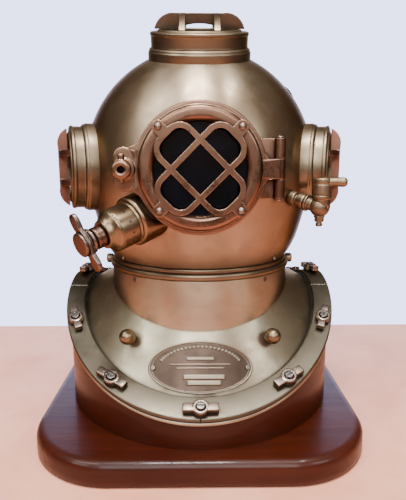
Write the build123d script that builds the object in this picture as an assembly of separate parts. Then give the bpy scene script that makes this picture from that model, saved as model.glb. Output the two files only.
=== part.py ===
from build123d import *
import math
import os

# A brass diving helmet on a wooden stand. Lengths are in millimetres, angles in degrees.
# The helmet faces -Y, and +X is at the right of someone who looks at its face.
# The board's underside is at z = 0.
# An azimuth is measured about Z from the front, towards +X.

os.makedirs("parts", exist_ok=True)

# Clearances and cutting
seat_gap = 0.3
running_gap = 0.05
overrun = 1.0
skin_points_per_turn = 84

# Stand
board_width = 388.0
board_depth = 388.0
board_thickness = 28.0
board_corner_radius = 98.0
board_edge_radius = 10.0
board_foot_chamfer = 1.5
riser_radius = 170.0
riser_wall = 21.0
wood_screw_radius = 2.4
wood_screw_head_radius = 5.0
wood_screw_head_height = 3.0
wood_screw_recess = 2.0
wood_screw_grip = 18.0
wood_screw_azimuths = (45, 135, 225, 315)

# Breastplate: a neck tube, a sloping plate and a rim flange, both with a ridge across the shoulders
plate_wall = 3.0
neck_radius = 114.5
neck_top = 198.5
crease_apex = 206.5
crease_slope = 0.46
crease_ridge_y = 25.0
crease_round = 40.0
rim_apex = 183.3
rim_slope = 0.575
rim_ridge_y = 38.0
rim_round = 24.0
rim_radius = 174.0
flange_inner_radius = 150.0
flange_thickness = 3.5
shoulder_inset = 2.2

# Neck ring of the breastplate, with the bayonet flange that holds the bonnet
neck_ring_radius = 117.3
neck_ring_top = 206.5
neck_ring_edge = 1.5
bayonet_bore_radius = 104.0
bayonet_flange_height = 4.2
bayonet_notch_radius = 107.8
bayonet_notch_angle = 46
bayonet_lug_angle = 36
bayonet_lugs = 4
neck_skirt_wall = 3.0
neck_skirt_height = 12.0
neck_screw_azimuths = (-42, 42, 138, 222)
neck_screw_drop = 4.5
neck_screw_radius = 2.0
neck_screw_head_radius = 3.4
neck_screw_head_height = 1.2
neck_gasket_thickness = 2.8
neck_gasket_inner_radius = 106.4
neck_gasket_width = 5.8
side_lug_radius = 6.3
side_lug_length = 8.5
side_lug_azimuths = (-90, 90)

# Rim: gasket, four clamping straps, studs and wing nuts
rim_gasket_thickness = 2.5
strap_inner_radius = 152.0
strap_outer_radius = 175.5
strap_thickness = 3.6
strap_joint_angle = 0.3
strap_starts = {"brail_front_left": -90, "brail_front_right": 0, "brail_back_right": 90, "brail_back_left": 180}
stud_azimuths = (0, 37, 71, 104, 122, 150, 180, -150, -122, -104, -71, -37)
stud_circle_radius = 163.5
stud_radius = 4.6
stud_head_radius = 5.5
stud_head_height = 2.4
stud_tip = 2.2
stud_slot_width = 1.5
stud_slot_depth = 1.4
rim_nut_radius = 8.6
rim_nut_height = 8.5
rim_nut_edge = 1.0
rim_wing_span = 38.0
rim_wing_width = 7.6
rim_wing_lift = 1.6

# Lanyard studs and name plate on the sloping plate
lanyard_azimuths = (-38, 38)
lanyard_height = 127.0
lanyard_ball_radius = 9.2
lanyard_neck_radius = 4.2
lanyard_standoff = 11.0
name_plate_half_width = 58.0
name_plate_half_height = 28.3
name_plate_thickness = 2.2
name_plate_border = 1.9
name_plate_border_lift = 1.0
name_plate_height = 105.0
name_plate_field_width = 45.0
name_plate_field_height = 5.0
name_plate_field_lift = 0.8
name_plate_field_drops = (10.2, 16.6)
name_plate_screw_offset = 52.2
name_plate_screw_radius = 2.6
name_plate_fit_rounds = 6
name_plate_reach_angle = 60
name_plate_screw_shank = 1.4
name_plate_screw_height = 1.6

# Bonnet: a ball that closes in to the neck
bonnet_centre_z = 323.0
bonnet_radius = 143.5
bonnet_wall = 3.0
bonnet_flank_angle = 12.5
bonnet_flank_radius = 127.5
bonnet_flank_z = 243.0
bonnet_foot_radius = 111.5
bonnet_foot_z = 212.0
bonnet_ring_radius = 113.4
bonnet_ring_inner_radius = 99.0
bonnet_ring_skirt_height = 10.0
bonnet_ring_skirt_wall = 5.0
spigot_depth = 15.0
ring_rivet_azimuths = (-52, 50, 130, 230)
ring_rivet_lift = 5.0
ring_rivet_radius = 1.6
ring_rivet_head_radius = 2.8

# Side and top lights: frame on the bonnet, screwed ring, glass, gasket and guard
light_sleeve_wall = 7.0
light_gasket_thickness = 1.5
light_lip_height = 2.0
light_edge = 1.2
side_light_forward_angle = 18
side_light_flange_radius = 51.6
side_light_ring_radius = 48.7
side_light_glass_radius = 44.0
side_light_opening_radius = 38.5
side_light_flange_top = 148.0
side_light_ring_top = 162.0
side_light_guard_top = 175.3
side_light_guard_half_length = 45.5
top_light_tilt = 16
top_light_flange_radius = 59.8
top_light_ring_radius = 57.0
top_light_glass_radius = 51.0
top_light_opening_radius = 45.5
top_light_flange_top = 143.5
top_light_ring_top = 160.5
top_light_guard_top = 179.5
top_light_guard_half_length = 51.7
light_frame_depth = 126.0
light_glass_thickness = 8.0
guard_bar_thickness = 5.5
side_guard_gap_height_share = 0.12
top_guard_gap_height_share = 0.34
guard_gap_length_share = 0.55
guard_flat_share = 0.52
guard_cross_place_share = 0.37
guard_cross_depth = 6.0
guard_cross_width = 6.5

# Front light: fixed frame, hinged door, glass, grille
front_frame_face = 140.4
front_frame_radius = 60.0
front_frame_opening_radius = 47.0
front_frame_depth = 126.0
door_back = 141.0
door_plate_thickness = 6.0
door_plate_radius = 67.0
door_ring_radius = 62.5
door_ring_height = 9.0
door_ring_land_inner = 51.5
door_opening_radius = 46.5
door_glass_radius = 52.0
door_glass_set_back = 3.2
grille_thickness = 4.6
grille_bar_width = 5.5
grille_half_width = 23.0
grille_reach = 50.5
grille_end_radius = 17.0
grille_tab_width = 12.5
grille_screw_circle = 57.4
grille_screw_radius = 1.6
grille_screw_head_radius = 3.8
grille_screw_head_height = 2.4
grille_screw_grip = 9.0

# Door hinge, at +X
hinge_x = 81.0
hinge_y = -137.0
hinge_pin_radius = 2.6
hinge_knuckle_radius = 6.0
hinge_tongue_height = 20.0
hinge_knuckle_height = 20.0
hinge_end_gap = 0.5
hinge_pin_head_radius = 4.2
hinge_pin_head_height = 1.6
hinge_root_width = 46.0
hinge_root_x = 60.0
hinge_leaf_thickness = 7.0
hinge_leaf_inset = 2.5

# Door latch screw, at -X
latch_x = -76.0
latch_lug_half_height = 22.5
latch_lug_end_radius = 11.5
latch_lug_flare = 6.0
latch_lug_root_x = -55.0
latch_boss_radius = 11.0
latch_boss_height = 3.0
latch_screw_radius = 3.6
latch_screw_travel = 6.0
latch_block_depth = 12.0
latch_block_radius = 11.0
latch_collar_radius = 8.2
latch_collar_height = 3.0
latch_nut_neck_radius = 6.0
latch_nut_neck_height = 5.0
latch_nut_radius = 9.6
latch_nut_height = 5.0
latch_nut_bore_radius = 2.6
latch_nut_bore_depth = 4.0
latch_ear_length = 8.0
latch_ear_width = 5.0
latch_ear_height = 6.0

# Exhaust valve, low at -X: lengths along its axis are measured inwards from the handle's face
exhaust_face = Vector(-117.0, -176.0, 250.5)
exhaust_root_point = Vector(-60.0, -124.0, 273.5)
exhaust_wing_up = Vector(-0.445, 0.069, 0.893)
exhaust_length = 102.0
exhaust_root_radius = 26.5
exhaust_root_start = 61.0
exhaust_barrel_radius = 22.2
exhaust_barrel_start = 38.0
exhaust_wall = 3.6
exhaust_cap_radius = 15.0
exhaust_cap_start = 26.6
exhaust_cap_wall = 4.4
exhaust_button_radius = 12.8
exhaust_button_height = 3.2
exhaust_button_edge = 0.8
exhaust_wing_start = 5.2
exhaust_wing_height = 5.0
exhaust_wing_length = 62.0
exhaust_wing_width = 11.5
exhaust_back_disc_radius = 13.0
exhaust_back_disc_height = 5.5
exhaust_hub_radius = 9.0
exhaust_collar_radius = 11.5
exhaust_stem_radius = 3.5
exhaust_stem_end = 43.0
exhaust_follower_travel = 2.0
exhaust_follower_radius = 9.8
exhaust_follower_height = 4.0
exhaust_spring_radius = 8.0
exhaust_spring_wire = 1.6
exhaust_spring_turns = 3
exhaust_disc_start = 67.0
exhaust_disc_height = 3.0
exhaust_disc_radius = 14.5
exhaust_disc_lift = 2.5
exhaust_seat_radius = 12.0
exhaust_seat_height = 4.0
exhaust_vent_radius = 1.3
exhaust_vents = 12
exhaust_vent_place = 50.0

# Spitcock, at +X
spit_root_azimuth = 46.5
spit_root_drop_angle = 13
spit_ball_place = 181.0
spit_ball_radius = 10.6
spit_stub_radius = 7.0
spit_collar_radius = 8.6
spit_collar_start = 154.0
spit_collar_end = 163.0
spit_band_radius = 9.2
spit_band_start = 163.6
spit_band_end = 167.0
spit_shoulder_radius = 8.0
spit_shoulder_end = 151.0
spit_root_depth = 5.0
spit_tower_offset = 2.0
spit_tower_radius = 9.0
spit_tower_height = 13.0
spit_tower_band_radius = 10.0
spit_tower_band_height = 3.0
spit_plug_radius = 5.6
spit_plug_depth = 17.3
spit_knob_radius = 9.6
spit_knob_height = 17.7
spit_knob_edge = 1.2
spit_lever_radius = 5.2
spit_lever_length = 20.5
spit_lever_azimuth = 66
spit_nipple_radius = 5.4
spit_nipple_height = 5.0
spit_tip_radius = 3.8
spit_tip_height = 5.0
spit_bore_radius = 1.6
spit_bore_depth = 8.0

# Air and telephone elbows at the back
elbow_azimuths = {"air_elbow": 124, "telephone_elbow": -132}
elbow_rise_angle = 38
elbow_lean_angle = 30
elbow_flange_radius = 25.0
elbow_flange_height = 4.0
elbow_tube_radius = 12.0
elbow_bore_radius = 8.0
elbow_stem_height = 14.0
elbow_bend_radius = 16.0
elbow_drop = 22.0
elbow_union_radius = 14.5
elbow_union_height = 9.0
elbow_screw_radius = 1.5
elbow_screw_head_radius = 3.2
elbow_screw_head_height = 1.8
elbow_screw_count = 4
elbow_screw_inset = 4.6


def at_azimuth(azimuth, radius, height=0.0):
    """Point at an azimuth from the front, a radius from the vertical axis and a height."""
    turn = math.radians(azimuth)
    return Vector(radius * math.sin(turn), -radius * math.cos(turn), height)


def ridge_height(y, apex, slope, ridge_y, rounding):
    """Height of a roof line with a rounded ridge along X."""
    return apex - slope * math.hypot(y - ridge_y, rounding)


def crease_height(y):
    return ridge_height(y, crease_apex, crease_slope, crease_ridge_y, crease_round)


def rim_height(y):
    return ridge_height(y, rim_apex, rim_slope, rim_ridge_y, rim_round)


def rim_fall(y):
    """Slope of the rim line, dz over dy."""
    return -rim_slope * (y - rim_ridge_y) / math.hypot(y - rim_ridge_y, rim_round)


def on_rim(radius, lift=0.0):
    """Curve that follows the rim line at one radius, lifted by a height."""
    def place(azimuth):
        point = at_azimuth(azimuth, radius)
        return Vector(point.X, point.Y, rim_height(point.Y) + lift)
    return place


def on_crease(radius, lift=0.0):
    """Curve that follows the crease between the neck and the sloping plate."""
    def place(azimuth):
        point = at_azimuth(azimuth, radius)
        return Vector(point.X, point.Y, crease_height(point.Y) + lift)
    return place


def on_level(radius, height):
    """Circle at one height."""
    def place(azimuth):
        return at_azimuth(azimuth, radius, height)
    return place


def curve_between(place, start, stop):
    """Smooth edge through evenly spaced points of a curve given by azimuth."""
    steps = max(round(skin_points_per_turn * (stop - start) / 360), 4)
    points = [place(start + (stop - start) * step / steps) for step in range(steps + 1)]
    return Edge.make_spline(points)


def skinned_ring(places, start=0, stop=360):
    """Solid whose corners run round the axis along the given curves: four of them, if it isn't a full ring."""
    if stop - start == 360:
        spans = [(0, 180), (180, 360)]
    else:
        spans = [(start, stop)]
    faces = []
    for low, high in spans:
        edges = [curve_between(place, low, high) for place in places]
        for here, there in zip(edges, edges[1:] + edges[:1]):
            faces.append(Face.make_surface_from_curves(here, there))
    if stop - start != 360:
        for azimuth in (start, stop):
            first, second, third, fourth = [place(azimuth) for place in places]
            sides = (Edge.make_line(first, second), Edge.make_line(fourth, third))
            faces.append(Face.make_surface_from_curves(*sides))
    solid = Solid(Shell(faces))
    return solid if solid.volume > 0 else Solid(solid.wrapped.Reversed())


def turned(*points):
    """Solid turned about Z from a closed outline of (radius, height) points."""
    outline = make_face(Polyline(*points, close=True))
    return revolve(Plane.XZ * outline, Axis.Z)


def tube(inner, outer, low, high):
    """Plain ring or, with no inner radius, a disc, between two heights."""
    return turned((inner, low), (outer, low), (outer, high), (inner, high))


def block(x_low, x_high, y_low, y_high, z_low, z_high):
    """Box between two corners."""
    size = (x_high - x_low, y_high - y_low, z_high - z_low)
    middle = ((x_high + x_low) / 2, (y_high + y_low) / 2, (z_high + z_low) / 2)
    return Location(middle) * Box(*size)


def rim_plane(azimuth, lift=0.0):
    """Plane on the rim line at the stud circle, moved out along its own normal by a lift."""
    point = on_rim(stud_circle_radius)(azimuth)
    normal = Vector(0, -rim_fall(point.Y), 1).normalized()
    tangent = at_azimuth(azimuth + 90, 1)
    tangent = (tangent - normal * tangent.dot(normal)).normalized()
    return Plane(origin=point + normal * lift, x_dir=tangent, z_dir=normal)


def along_stud(azimuth, rise):
    """Distance along a stud from the rim line to a surface that lies a rise above that line."""
    return rise * rim_plane(azimuth).z_dir.Z


def plate_plane_at_share(azimuth, share):
    """Plane on the sloping plate, a share of the way from its crease to its rim: Z leaves it, Y runs up it."""
    top = on_crease(neck_radius)(azimuth)
    low = on_rim(flange_inner_radius)(azimuth)
    origin = top + (low - top) * share
    side = on_crease(neck_radius)(azimuth + 1) - on_crease(neck_radius)(azimuth - 1)
    low_side = on_rim(flange_inner_radius)(azimuth + 1) - on_rim(flange_inner_radius)(azimuth - 1)
    along = (side + (low_side - side) * share).normalized()
    normal = along.cross(top - low).normalized()
    return Plane(origin=origin, x_dir=along, z_dir=normal)


def plate_plane(azimuth, height):
    """Plane on the sloping plate at an azimuth and a height."""
    top = crease_height(at_azimuth(azimuth, neck_radius).Y)
    low = rim_height(at_azimuth(azimuth, flange_inner_radius).Y)
    return plate_plane_at_share(azimuth, (top - height) / (top - low))


def base_board():
    board = extrude(RectangleRounded(board_width, board_depth, board_corner_radius), board_thickness)
    board = fillet(board.edges().group_by(Axis.Z)[-1], board_edge_radius)
    board = chamfer(board.edges().group_by(Axis.Z)[0], board_foot_chamfer)
    shank = wood_screw_radius + seat_gap
    head = wood_screw_head_radius + seat_gap
    for azimuth in wood_screw_azimuths:
        place = Location(at_azimuth(azimuth, riser_radius - riser_wall / 2))
        board -= place * tube(0, shank, -overrun, board_thickness + overrun)
        board -= place * tube(0, head, -overrun, wood_screw_recess + wood_screw_head_height)
    return board


def base_riser():
    inner = riser_radius - riser_wall
    top_lift = -flange_thickness - seat_gap
    riser = skinned_ring([
        on_level(riser_radius, board_thickness),
        on_rim(riser_radius, top_lift),
        on_rim(inner, top_lift),
        on_level(inner, board_thickness),
    ])
    for azimuth in wood_screw_azimuths:
        place = Location(at_azimuth(azimuth, riser_radius - riser_wall / 2))
        depth = board_thickness + wood_screw_grip + seat_gap
        riser -= place * tube(0, wood_screw_radius + seat_gap, board_thickness - overrun, depth)
    for azimuth in stud_azimuths:
        low = along_stud(azimuth, -flange_thickness) - stud_head_height - seat_gap * 4
        riser -= rim_plane(azimuth).location * tube(0, stud_head_radius + seat_gap, low, flange_thickness)
    return riser


def base_screws():
    screws = []
    for azimuth in wood_screw_azimuths:
        head_top = wood_screw_recess + wood_screw_head_height - seat_gap
        tip = board_thickness + wood_screw_grip
        screw = turned(
            (0, wood_screw_recess),
            (wood_screw_head_radius, wood_screw_recess),
            (wood_screw_head_radius, head_top),
            (wood_screw_radius, head_top),
            (wood_screw_radius, tip - wood_screw_radius),
            (0, tip),
        )
        screws.append(Location(at_azimuth(azimuth, riser_radius - riser_wall / 2)) * screw)
    return screws


def stud_holes(radius, low, high):
    """Bodies that cut the stud holes, square to the rim at each stud."""
    return [rim_plane(azimuth).location * tube(0, radius, low, high) for azimuth in stud_azimuths]


def breastplate():
    inner = neck_radius - plate_wall
    plate = skinned_ring([
        on_level(neck_radius, neck_top),
        on_crease(neck_radius),
        on_rim(flange_inner_radius),
        on_rim(rim_radius),
        on_rim(rim_radius, -flange_thickness),
        on_rim(flange_inner_radius - shoulder_inset, -flange_thickness),
        on_crease(inner, -shoulder_inset),
        on_level(inner, neck_top),
    ])
    reach = flange_thickness + stud_head_height
    for cutter in stud_holes(stud_radius + seat_gap, -reach, reach):
        plate -= cutter
    for cutter in neck_screw_bodies(neck_screw_radius + seat_gap, neck_screw_head_radius + seat_gap, seat_gap):
        plate -= cutter
    for azimuth in lanyard_azimuths:
        plane = plate_plane(azimuth, lanyard_height)
        plate -= plane.location * tube(0, lanyard_neck_radius / 2 + seat_gap, -lanyard_neck_radius * 2, overrun)
    for side in (-1, 1):
        hole = tube(0, name_plate_screw_shank + seat_gap, -plate_wall * 2, overrun)
        plate -= name_plate_screw_plane(side).location * hole
    return plate


def neck_screw_bodies(shank, head, head_extra=0.0):
    """Short screws that run radially through the neck tube into the skirt of the neck ring."""
    bodies = []
    for azimuth in neck_screw_azimuths:
        outward = at_azimuth(azimuth, 1)
        origin = at_azimuth(azimuth, neck_radius, neck_top - neck_screw_drop)
        plane = Plane(origin=origin, x_dir=at_azimuth(azimuth + 90, 1), z_dir=outward)
        inner_end = -plate_wall - seat_gap - neck_skirt_wall + seat_gap
        body = tube(0, shank, inner_end, 0)
        body += tube(0, head, -neck_screw_head_height - head_extra, head_extra)
        bodies.append(plane.location * body)
    return bodies


def neck_ring():
    skirt = neck_radius - plate_wall - seat_gap
    bottom = neck_top + seat_gap
    flange_top = bottom + bayonet_flange_height
    recess_inner = neck_gasket_inner_radius - seat_gap
    recess_outer = neck_gasket_inner_radius + neck_gasket_width + seat_gap
    gasket_low = neck_ring_top - neck_gasket_thickness
    ring = turned(
        (bayonet_bore_radius, bottom),
        (skirt - neck_skirt_wall, bottom),
        (skirt - neck_skirt_wall, bottom - neck_skirt_height),
        (skirt, bottom - neck_skirt_height),
        (skirt, bottom),
        (neck_ring_radius - neck_ring_edge, bottom),
        (neck_ring_radius, bottom + neck_ring_edge),
        (neck_ring_radius, neck_ring_top - neck_ring_edge),
        (neck_ring_radius - neck_ring_edge, neck_ring_top),
        (recess_outer, neck_ring_top),
        (recess_outer, gasket_low),
        (recess_inner, gasket_low),
        (recess_inner, flange_top),
        (bayonet_bore_radius, flange_top),
    )
    notch = CenterArc((0, 0), bayonet_notch_radius, -bayonet_notch_angle / 2, bayonet_notch_angle)
    sector = make_face([notch, Line(notch @ 0, (0, 0)), Line((0, 0), notch @ 1)])
    cutter = extrude(Plane.XY.offset(bottom - overrun) * sector, bayonet_flange_height + overrun * 2)
    for index in range(bayonet_lugs):
        ring -= Rotation(0, 0, 360 * index / bayonet_lugs) * cutter
    for cutter in neck_screw_bodies(neck_screw_radius + seat_gap, neck_screw_radius + seat_gap):
        ring -= cutter
    height = (bottom + neck_ring_top) / 2
    for azimuth in side_lug_azimuths:
        start = at_azimuth(azimuth, neck_ring_radius - neck_ring_edge, height)
        plane = Plane(origin=start, x_dir=at_azimuth(azimuth + 90, 1), z_dir=at_azimuth(azimuth, 1))
        ring += plane.location * tube(0, side_lug_radius, 0, side_lug_length)
    return ring


def neck_gasket():
    outer = neck_gasket_inner_radius + neck_gasket_width
    low = neck_ring_top - neck_gasket_thickness + seat_gap
    return tube(neck_gasket_inner_radius, outer, low, neck_ring_top + seat_gap)


def rim_gasket():
    low = seat_gap
    high = seat_gap + rim_gasket_thickness
    gasket = skinned_ring([
        on_rim(flange_inner_radius + shoulder_inset / 2, low),
        on_rim(rim_radius, low),
        on_rim(rim_radius, high),
        on_rim(flange_inner_radius + shoulder_inset / 2, high),
    ])
    for cutter in stud_holes(stud_radius + seat_gap, -overrun, high + overrun):
        gasket -= cutter
    return gasket


strap_low = seat_gap * 2 + rim_gasket_thickness
strap_high = strap_low + strap_thickness


def brail(start):
    """One of the four clamping straps, a quarter of the rim long."""
    strap = skinned_ring([
        on_rim(strap_inner_radius, strap_low),
        on_rim(strap_outer_radius, strap_low),
        on_rim(strap_outer_radius, strap_high),
        on_rim(strap_inner_radius, strap_high),
    ], start + strap_joint_angle, start + 90 - strap_joint_angle)
    for cutter in stud_holes(stud_radius + seat_gap, -overrun, strap_high + overrun):
        strap -= cutter
    return strap


def brail_stud(azimuth):
    """Stud with its head under the flange and its slotted tip above the wing nut."""
    low = along_stud(azimuth, -flange_thickness) - seat_gap * 2
    high = along_stud(azimuth, strap_high) + seat_gap + rim_nut_height + stud_tip
    stud = turned(
        (0, low - stud_head_height),
        (stud_head_radius, low - stud_head_height),
        (stud_head_radius, low),
        (stud_radius, low),
        (stud_radius, high),
        (0, high),
    )
    reach = stud_radius * 2
    half_slot = stud_slot_width / 2
    stud -= block(-reach, reach, -half_slot, half_slot, high - stud_slot_depth, high + overrun)
    return rim_plane(azimuth).location * stud


def brail_studs():
    return [brail_stud(azimuth) for azimuth in stud_azimuths]


def rim_wing_nut():
    nut = tube(0, rim_nut_radius, 0, rim_nut_height)
    nut = fillet(nut.edges().group_by(Axis.Z)[-1], rim_nut_edge)
    half_span = rim_wing_span / 2
    half_width = rim_wing_width / 2
    wings = block(-half_span, half_span, -half_width, half_width, rim_wing_lift, rim_nut_height)
    wings = fillet(wings.edges().filter_by(Axis.Z), rim_nut_edge)
    nut += wings
    return nut - tube(0, stud_radius + running_gap, -overrun, rim_nut_height + overrun)


def brail_wing_nuts():
    nut = rim_wing_nut()
    seats = [(azimuth, along_stud(azimuth, strap_high) + seat_gap) for azimuth in stud_azimuths]
    return [rim_plane(azimuth, seat).location * nut for azimuth, seat in seats]


def lanyard_studs():
    studs = []
    for azimuth in lanyard_azimuths:
        stud = Location((0, 0, lanyard_standoff)) * Sphere(lanyard_ball_radius)
        stud += tube(0, lanyard_neck_radius, seat_gap, lanyard_standoff)
        stud += tube(0, lanyard_neck_radius / 2, -plate_wall * 2, lanyard_standoff)
        studs.append(plate_plane(azimuth, lanyard_height).location * stud)
    return studs


def name_plate_place():
    """Location of the name plate's middle on the sloping plate."""
    return plate_plane(0, name_plate_height).location


def name_plate_screw_plane(side):
    """Plane on the sloping plate at one end of the name plate, found by a few corrections."""
    middle = plate_plane(0, name_plate_height)
    mean_radius = (neck_radius + flange_inner_radius) / 2
    azimuth = 0.0
    height = name_plate_height
    for _ in range(name_plate_fit_rounds):
        offset = middle.to_local_coords(plate_plane(azimuth, height).origin)
        azimuth += math.degrees((side * name_plate_screw_offset - offset.X) / mean_radius)
        height -= offset.Y * middle.y_dir.Z
    return plate_plane(azimuth, height)


def sloping_plate_skin(low, high):
    """Body between two distances outside the sloping plate, wide enough for the name plate."""
    def moved(place, share, distance):
        return lambda azimuth: place(azimuth) + plate_plane_at_share(azimuth, share).z_dir * distance
    top = on_crease(neck_radius)
    foot = on_rim(flange_inner_radius)
    corners = [moved(top, 0, low), moved(foot, 1, low), moved(foot, 1, high), moved(top, 0, high)]
    return skinned_ring(corners, -name_plate_reach_angle, name_plate_reach_angle)


def name_plate():
    """Oval plate bent to the sloping plate, with a raised border and two blank raised fields."""
    place = name_plate_place()
    depth = name_plate_half_height
    oval = place * extrude(Ellipse(name_plate_half_width, name_plate_half_height), depth, both=True)
    inner_width = name_plate_half_width - name_plate_border
    inner_height = name_plate_half_height - name_plate_border
    inner_oval = place * extrude(Ellipse(inner_width, inner_height), depth, both=True)
    low = seat_gap
    high = low + name_plate_thickness
    body = sloping_plate_skin(low, high) & oval
    body += (sloping_plate_skin(low, high + name_plate_border_lift) & oval) - inner_oval
    half_width = name_plate_field_width / 2
    half_height = name_plate_field_height / 2
    for drop in name_plate_field_drops:
        field = block(-half_width, half_width, -drop - half_height, -drop + half_height, -depth, depth)
        body += sloping_plate_skin(low, high + name_plate_field_lift) & (place * field)
    for side in (-1, 1):
        hole = tube(0, name_plate_screw_shank + seat_gap, -overrun, high + overrun)
        body -= name_plate_screw_plane(side).location * hole
    return body


def name_plate_screws():
    face = seat_gap * 2 + name_plate_thickness
    screw = tube(0, name_plate_screw_shank, -plate_wall, face)
    screw += tube(0, name_plate_screw_radius, face, face + name_plate_screw_height)
    return [name_plate_screw_plane(side).location * screw for side in (-1, 1)]


def bonnet_body(offset=0.0, extra=0.0):
    """Solid bounded by the bonnet's surface moved out by an offset, open at the foot by an extra depth."""
    ball = bonnet_radius + offset
    top = (0, bonnet_centre_z + ball)
    half = math.radians(45)
    middle = (ball * math.cos(half), bonnet_centre_z + ball * math.sin(half))
    low = math.radians(bonnet_flank_angle)
    flank = (ball * math.cos(low), bonnet_centre_z - ball * math.sin(low))
    knee = (bonnet_flank_radius + offset, bonnet_flank_z)
    foot = (bonnet_foot_radius + offset, bonnet_foot_z)
    sphere_arc = ThreePointArc(top, middle, flank)
    flank_arc = TangentArc(flank, knee, tangent=sphere_arc % 1)
    foot_arc = TangentArc(knee, foot, tangent=flank_arc % 1)
    base = bonnet_foot_z - extra
    outline = [sphere_arc, flank_arc, foot_arc, Line((0, base), top)]
    if extra:
        outline += [Line(foot, (foot[0], base)), Line((foot[0], base), (0, base))]
    else:
        outline += [Line(foot, (0, base))]
    return revolve(Plane.XZ * make_face(outline), Axis.Z)


def bonnet_plane(azimuth, rise):
    """Plane at the bonnet's centre with Z towards an azimuth and a rise, and Y up."""
    level = math.cos(math.radians(rise))
    out = at_azimuth(azimuth, level, math.sin(math.radians(rise)))
    across = at_azimuth(azimuth + 90, 1)
    return Plane(origin=(0, 0, bonnet_centre_z), x_dir=across, z_dir=out)


left_light = bonnet_plane(-90 + side_light_forward_angle, 0)
right_light = bonnet_plane(90 - side_light_forward_angle, 0)
top_light = bonnet_plane(0, 90 - top_light_tilt)
front_light = bonnet_plane(0, 0)
spit_light = bonnet_plane(spit_root_azimuth, -spit_root_drop_angle)


def exhaust_plane():
    """Plane at the handle's face: Z leaves the helmet, X runs up along the wings."""
    out = (exhaust_face - exhaust_root_point).normalized()
    wing = (exhaust_wing_up - out * exhaust_wing_up.dot(out)).normalized()
    return Plane(origin=exhaust_face, x_dir=wing, z_dir=out)


def elbow_plane(azimuth):
    return bonnet_plane(azimuth, elbow_rise_angle)


def ring_rivet_plane(azimuth):
    height = bonnet_foot_z + ring_rivet_lift
    return Plane(origin=(0, 0, height), x_dir=at_azimuth(azimuth + 90, 1), z_dir=at_azimuth(azimuth, 1))


def bonnet_shell():
    shell = bonnet_body() - bonnet_body(-bonnet_wall, overrun)
    far = bonnet_radius + overrun
    for plane, opening in light_openings():
        shell -= plane.location * tube(0, opening + light_sleeve_wall + seat_gap, bonnet_radius / 2, far)
    front_hole = front_frame_opening_radius + light_sleeve_wall / 2 + seat_gap
    shell -= front_light.location * tube(0, front_hole, bonnet_radius / 2, far)
    barrel_hole = tube(0, exhaust_barrel_radius + seat_gap, -exhaust_length - exhaust_wall, -exhaust_root_start)
    shell -= exhaust_plane().location * barrel_hole
    shell -= spit_light.location * tube(0, spit_stub_radius + seat_gap, bonnet_radius / 2, far)
    for azimuth in elbow_azimuths.values():
        shell -= elbow_plane(azimuth).location * tube(0, elbow_tube_radius + seat_gap, bonnet_radius / 2, far)
        for cutter in elbow_screw_bodies(azimuth, elbow_screw_radius + seat_gap, elbow_screw_radius + seat_gap):
            shell -= cutter
    for azimuth in ring_rivet_azimuths:
        hole = tube(0, ring_rivet_radius + running_gap, bonnet_foot_radius / 2, bonnet_radius)
        shell -= ring_rivet_plane(azimuth).location * hole
    return shell


def light_openings():
    """Each side and top light's plane with the radius of its clear opening."""
    return [
        (left_light, side_light_opening_radius),
        (right_light, side_light_opening_radius),
        (top_light, top_light_opening_radius),
    ]


def bonnet_neck_ring():
    top = bonnet_foot_z - seat_gap
    bottom = neck_ring_top + seat_gap * 2
    spigot = bayonet_bore_radius - seat_gap
    skirt = bonnet_foot_radius - bonnet_wall - seat_gap
    ring = turned(
        (bonnet_ring_inner_radius, bottom - spigot_depth),
        (spigot, bottom - spigot_depth),
        (spigot, bottom),
        (bonnet_ring_radius, bottom),
        (bonnet_ring_radius, top),
        (skirt, top),
        (skirt, top + bonnet_ring_skirt_height),
        (skirt - bonnet_ring_skirt_wall, top + bonnet_ring_skirt_height),
    )
    lug_top = neck_top
    lug_low = bottom - spigot_depth
    lug_radius = bayonet_notch_radius - seat_gap * 2
    outer = CenterArc((0, 0), lug_radius, -bayonet_lug_angle / 2, bayonet_lug_angle)
    sector = make_face([outer, Line(outer @ 0, (0, 0)), Line((0, 0), outer @ 1)])
    lug = extrude(Plane.XY.offset(lug_low) * sector, lug_top - lug_low)
    lug -= tube(0, bonnet_ring_inner_radius + seat_gap, lug_low - overrun, lug_top + overrun)
    for index in range(bayonet_lugs):
        ring += Rotation(0, 0, 360 * (index + 1 / 2) / bayonet_lugs) * lug
    for azimuth in ring_rivet_azimuths:
        hole = tube(0, ring_rivet_radius + running_gap, bonnet_ring_inner_radius / 2, bonnet_foot_radius)
        ring -= ring_rivet_plane(azimuth).location * hole
    return ring


def ring_rivets():
    """Rivets that hold the bonnet to its ring, with round heads."""
    rivets = []
    outside = bonnet_body(seat_gap, overrun)
    skirt = bonnet_foot_radius - bonnet_wall - seat_gap
    for azimuth in ring_rivet_azimuths:
        shank_end = bonnet_foot_radius + ring_rivet_lift
        head = Location((0, 0, shank_end - ring_rivet_head_radius / 2)) * Sphere(ring_rivet_head_radius)
        plane = ring_rivet_plane(azimuth).location
        shank = plane * tube(0, ring_rivet_radius, skirt - bonnet_ring_skirt_wall, shank_end)
        rivets.append(((plane * head) - outside) + shank)
    return rivets


def light_frame(opening, flange, flange_top):
    """Fixed frame of a light: a flange on the bonnet and a sleeve through its hole."""
    sleeve = opening + light_sleeve_wall
    body = tube(opening, sleeve, light_frame_depth, flange_top)
    collar = tube(sleeve - seat_gap, flange, light_frame_depth, flange_top)
    collar = chamfer(collar.edges().group_by(Axis.Z)[-1].sort_by(SortBy.LENGTH)[-1], light_edge)
    return body, collar


def placed_light_frame(plane, opening, flange, flange_top):
    body, collar = light_frame(opening, flange, flange_top)
    seated = (plane.location * collar) - bonnet_body(seat_gap, overrun)
    seated = seated.solids().sort_by(SortBy.VOLUME)[-1]
    return (plane.location * body) + seated


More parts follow.
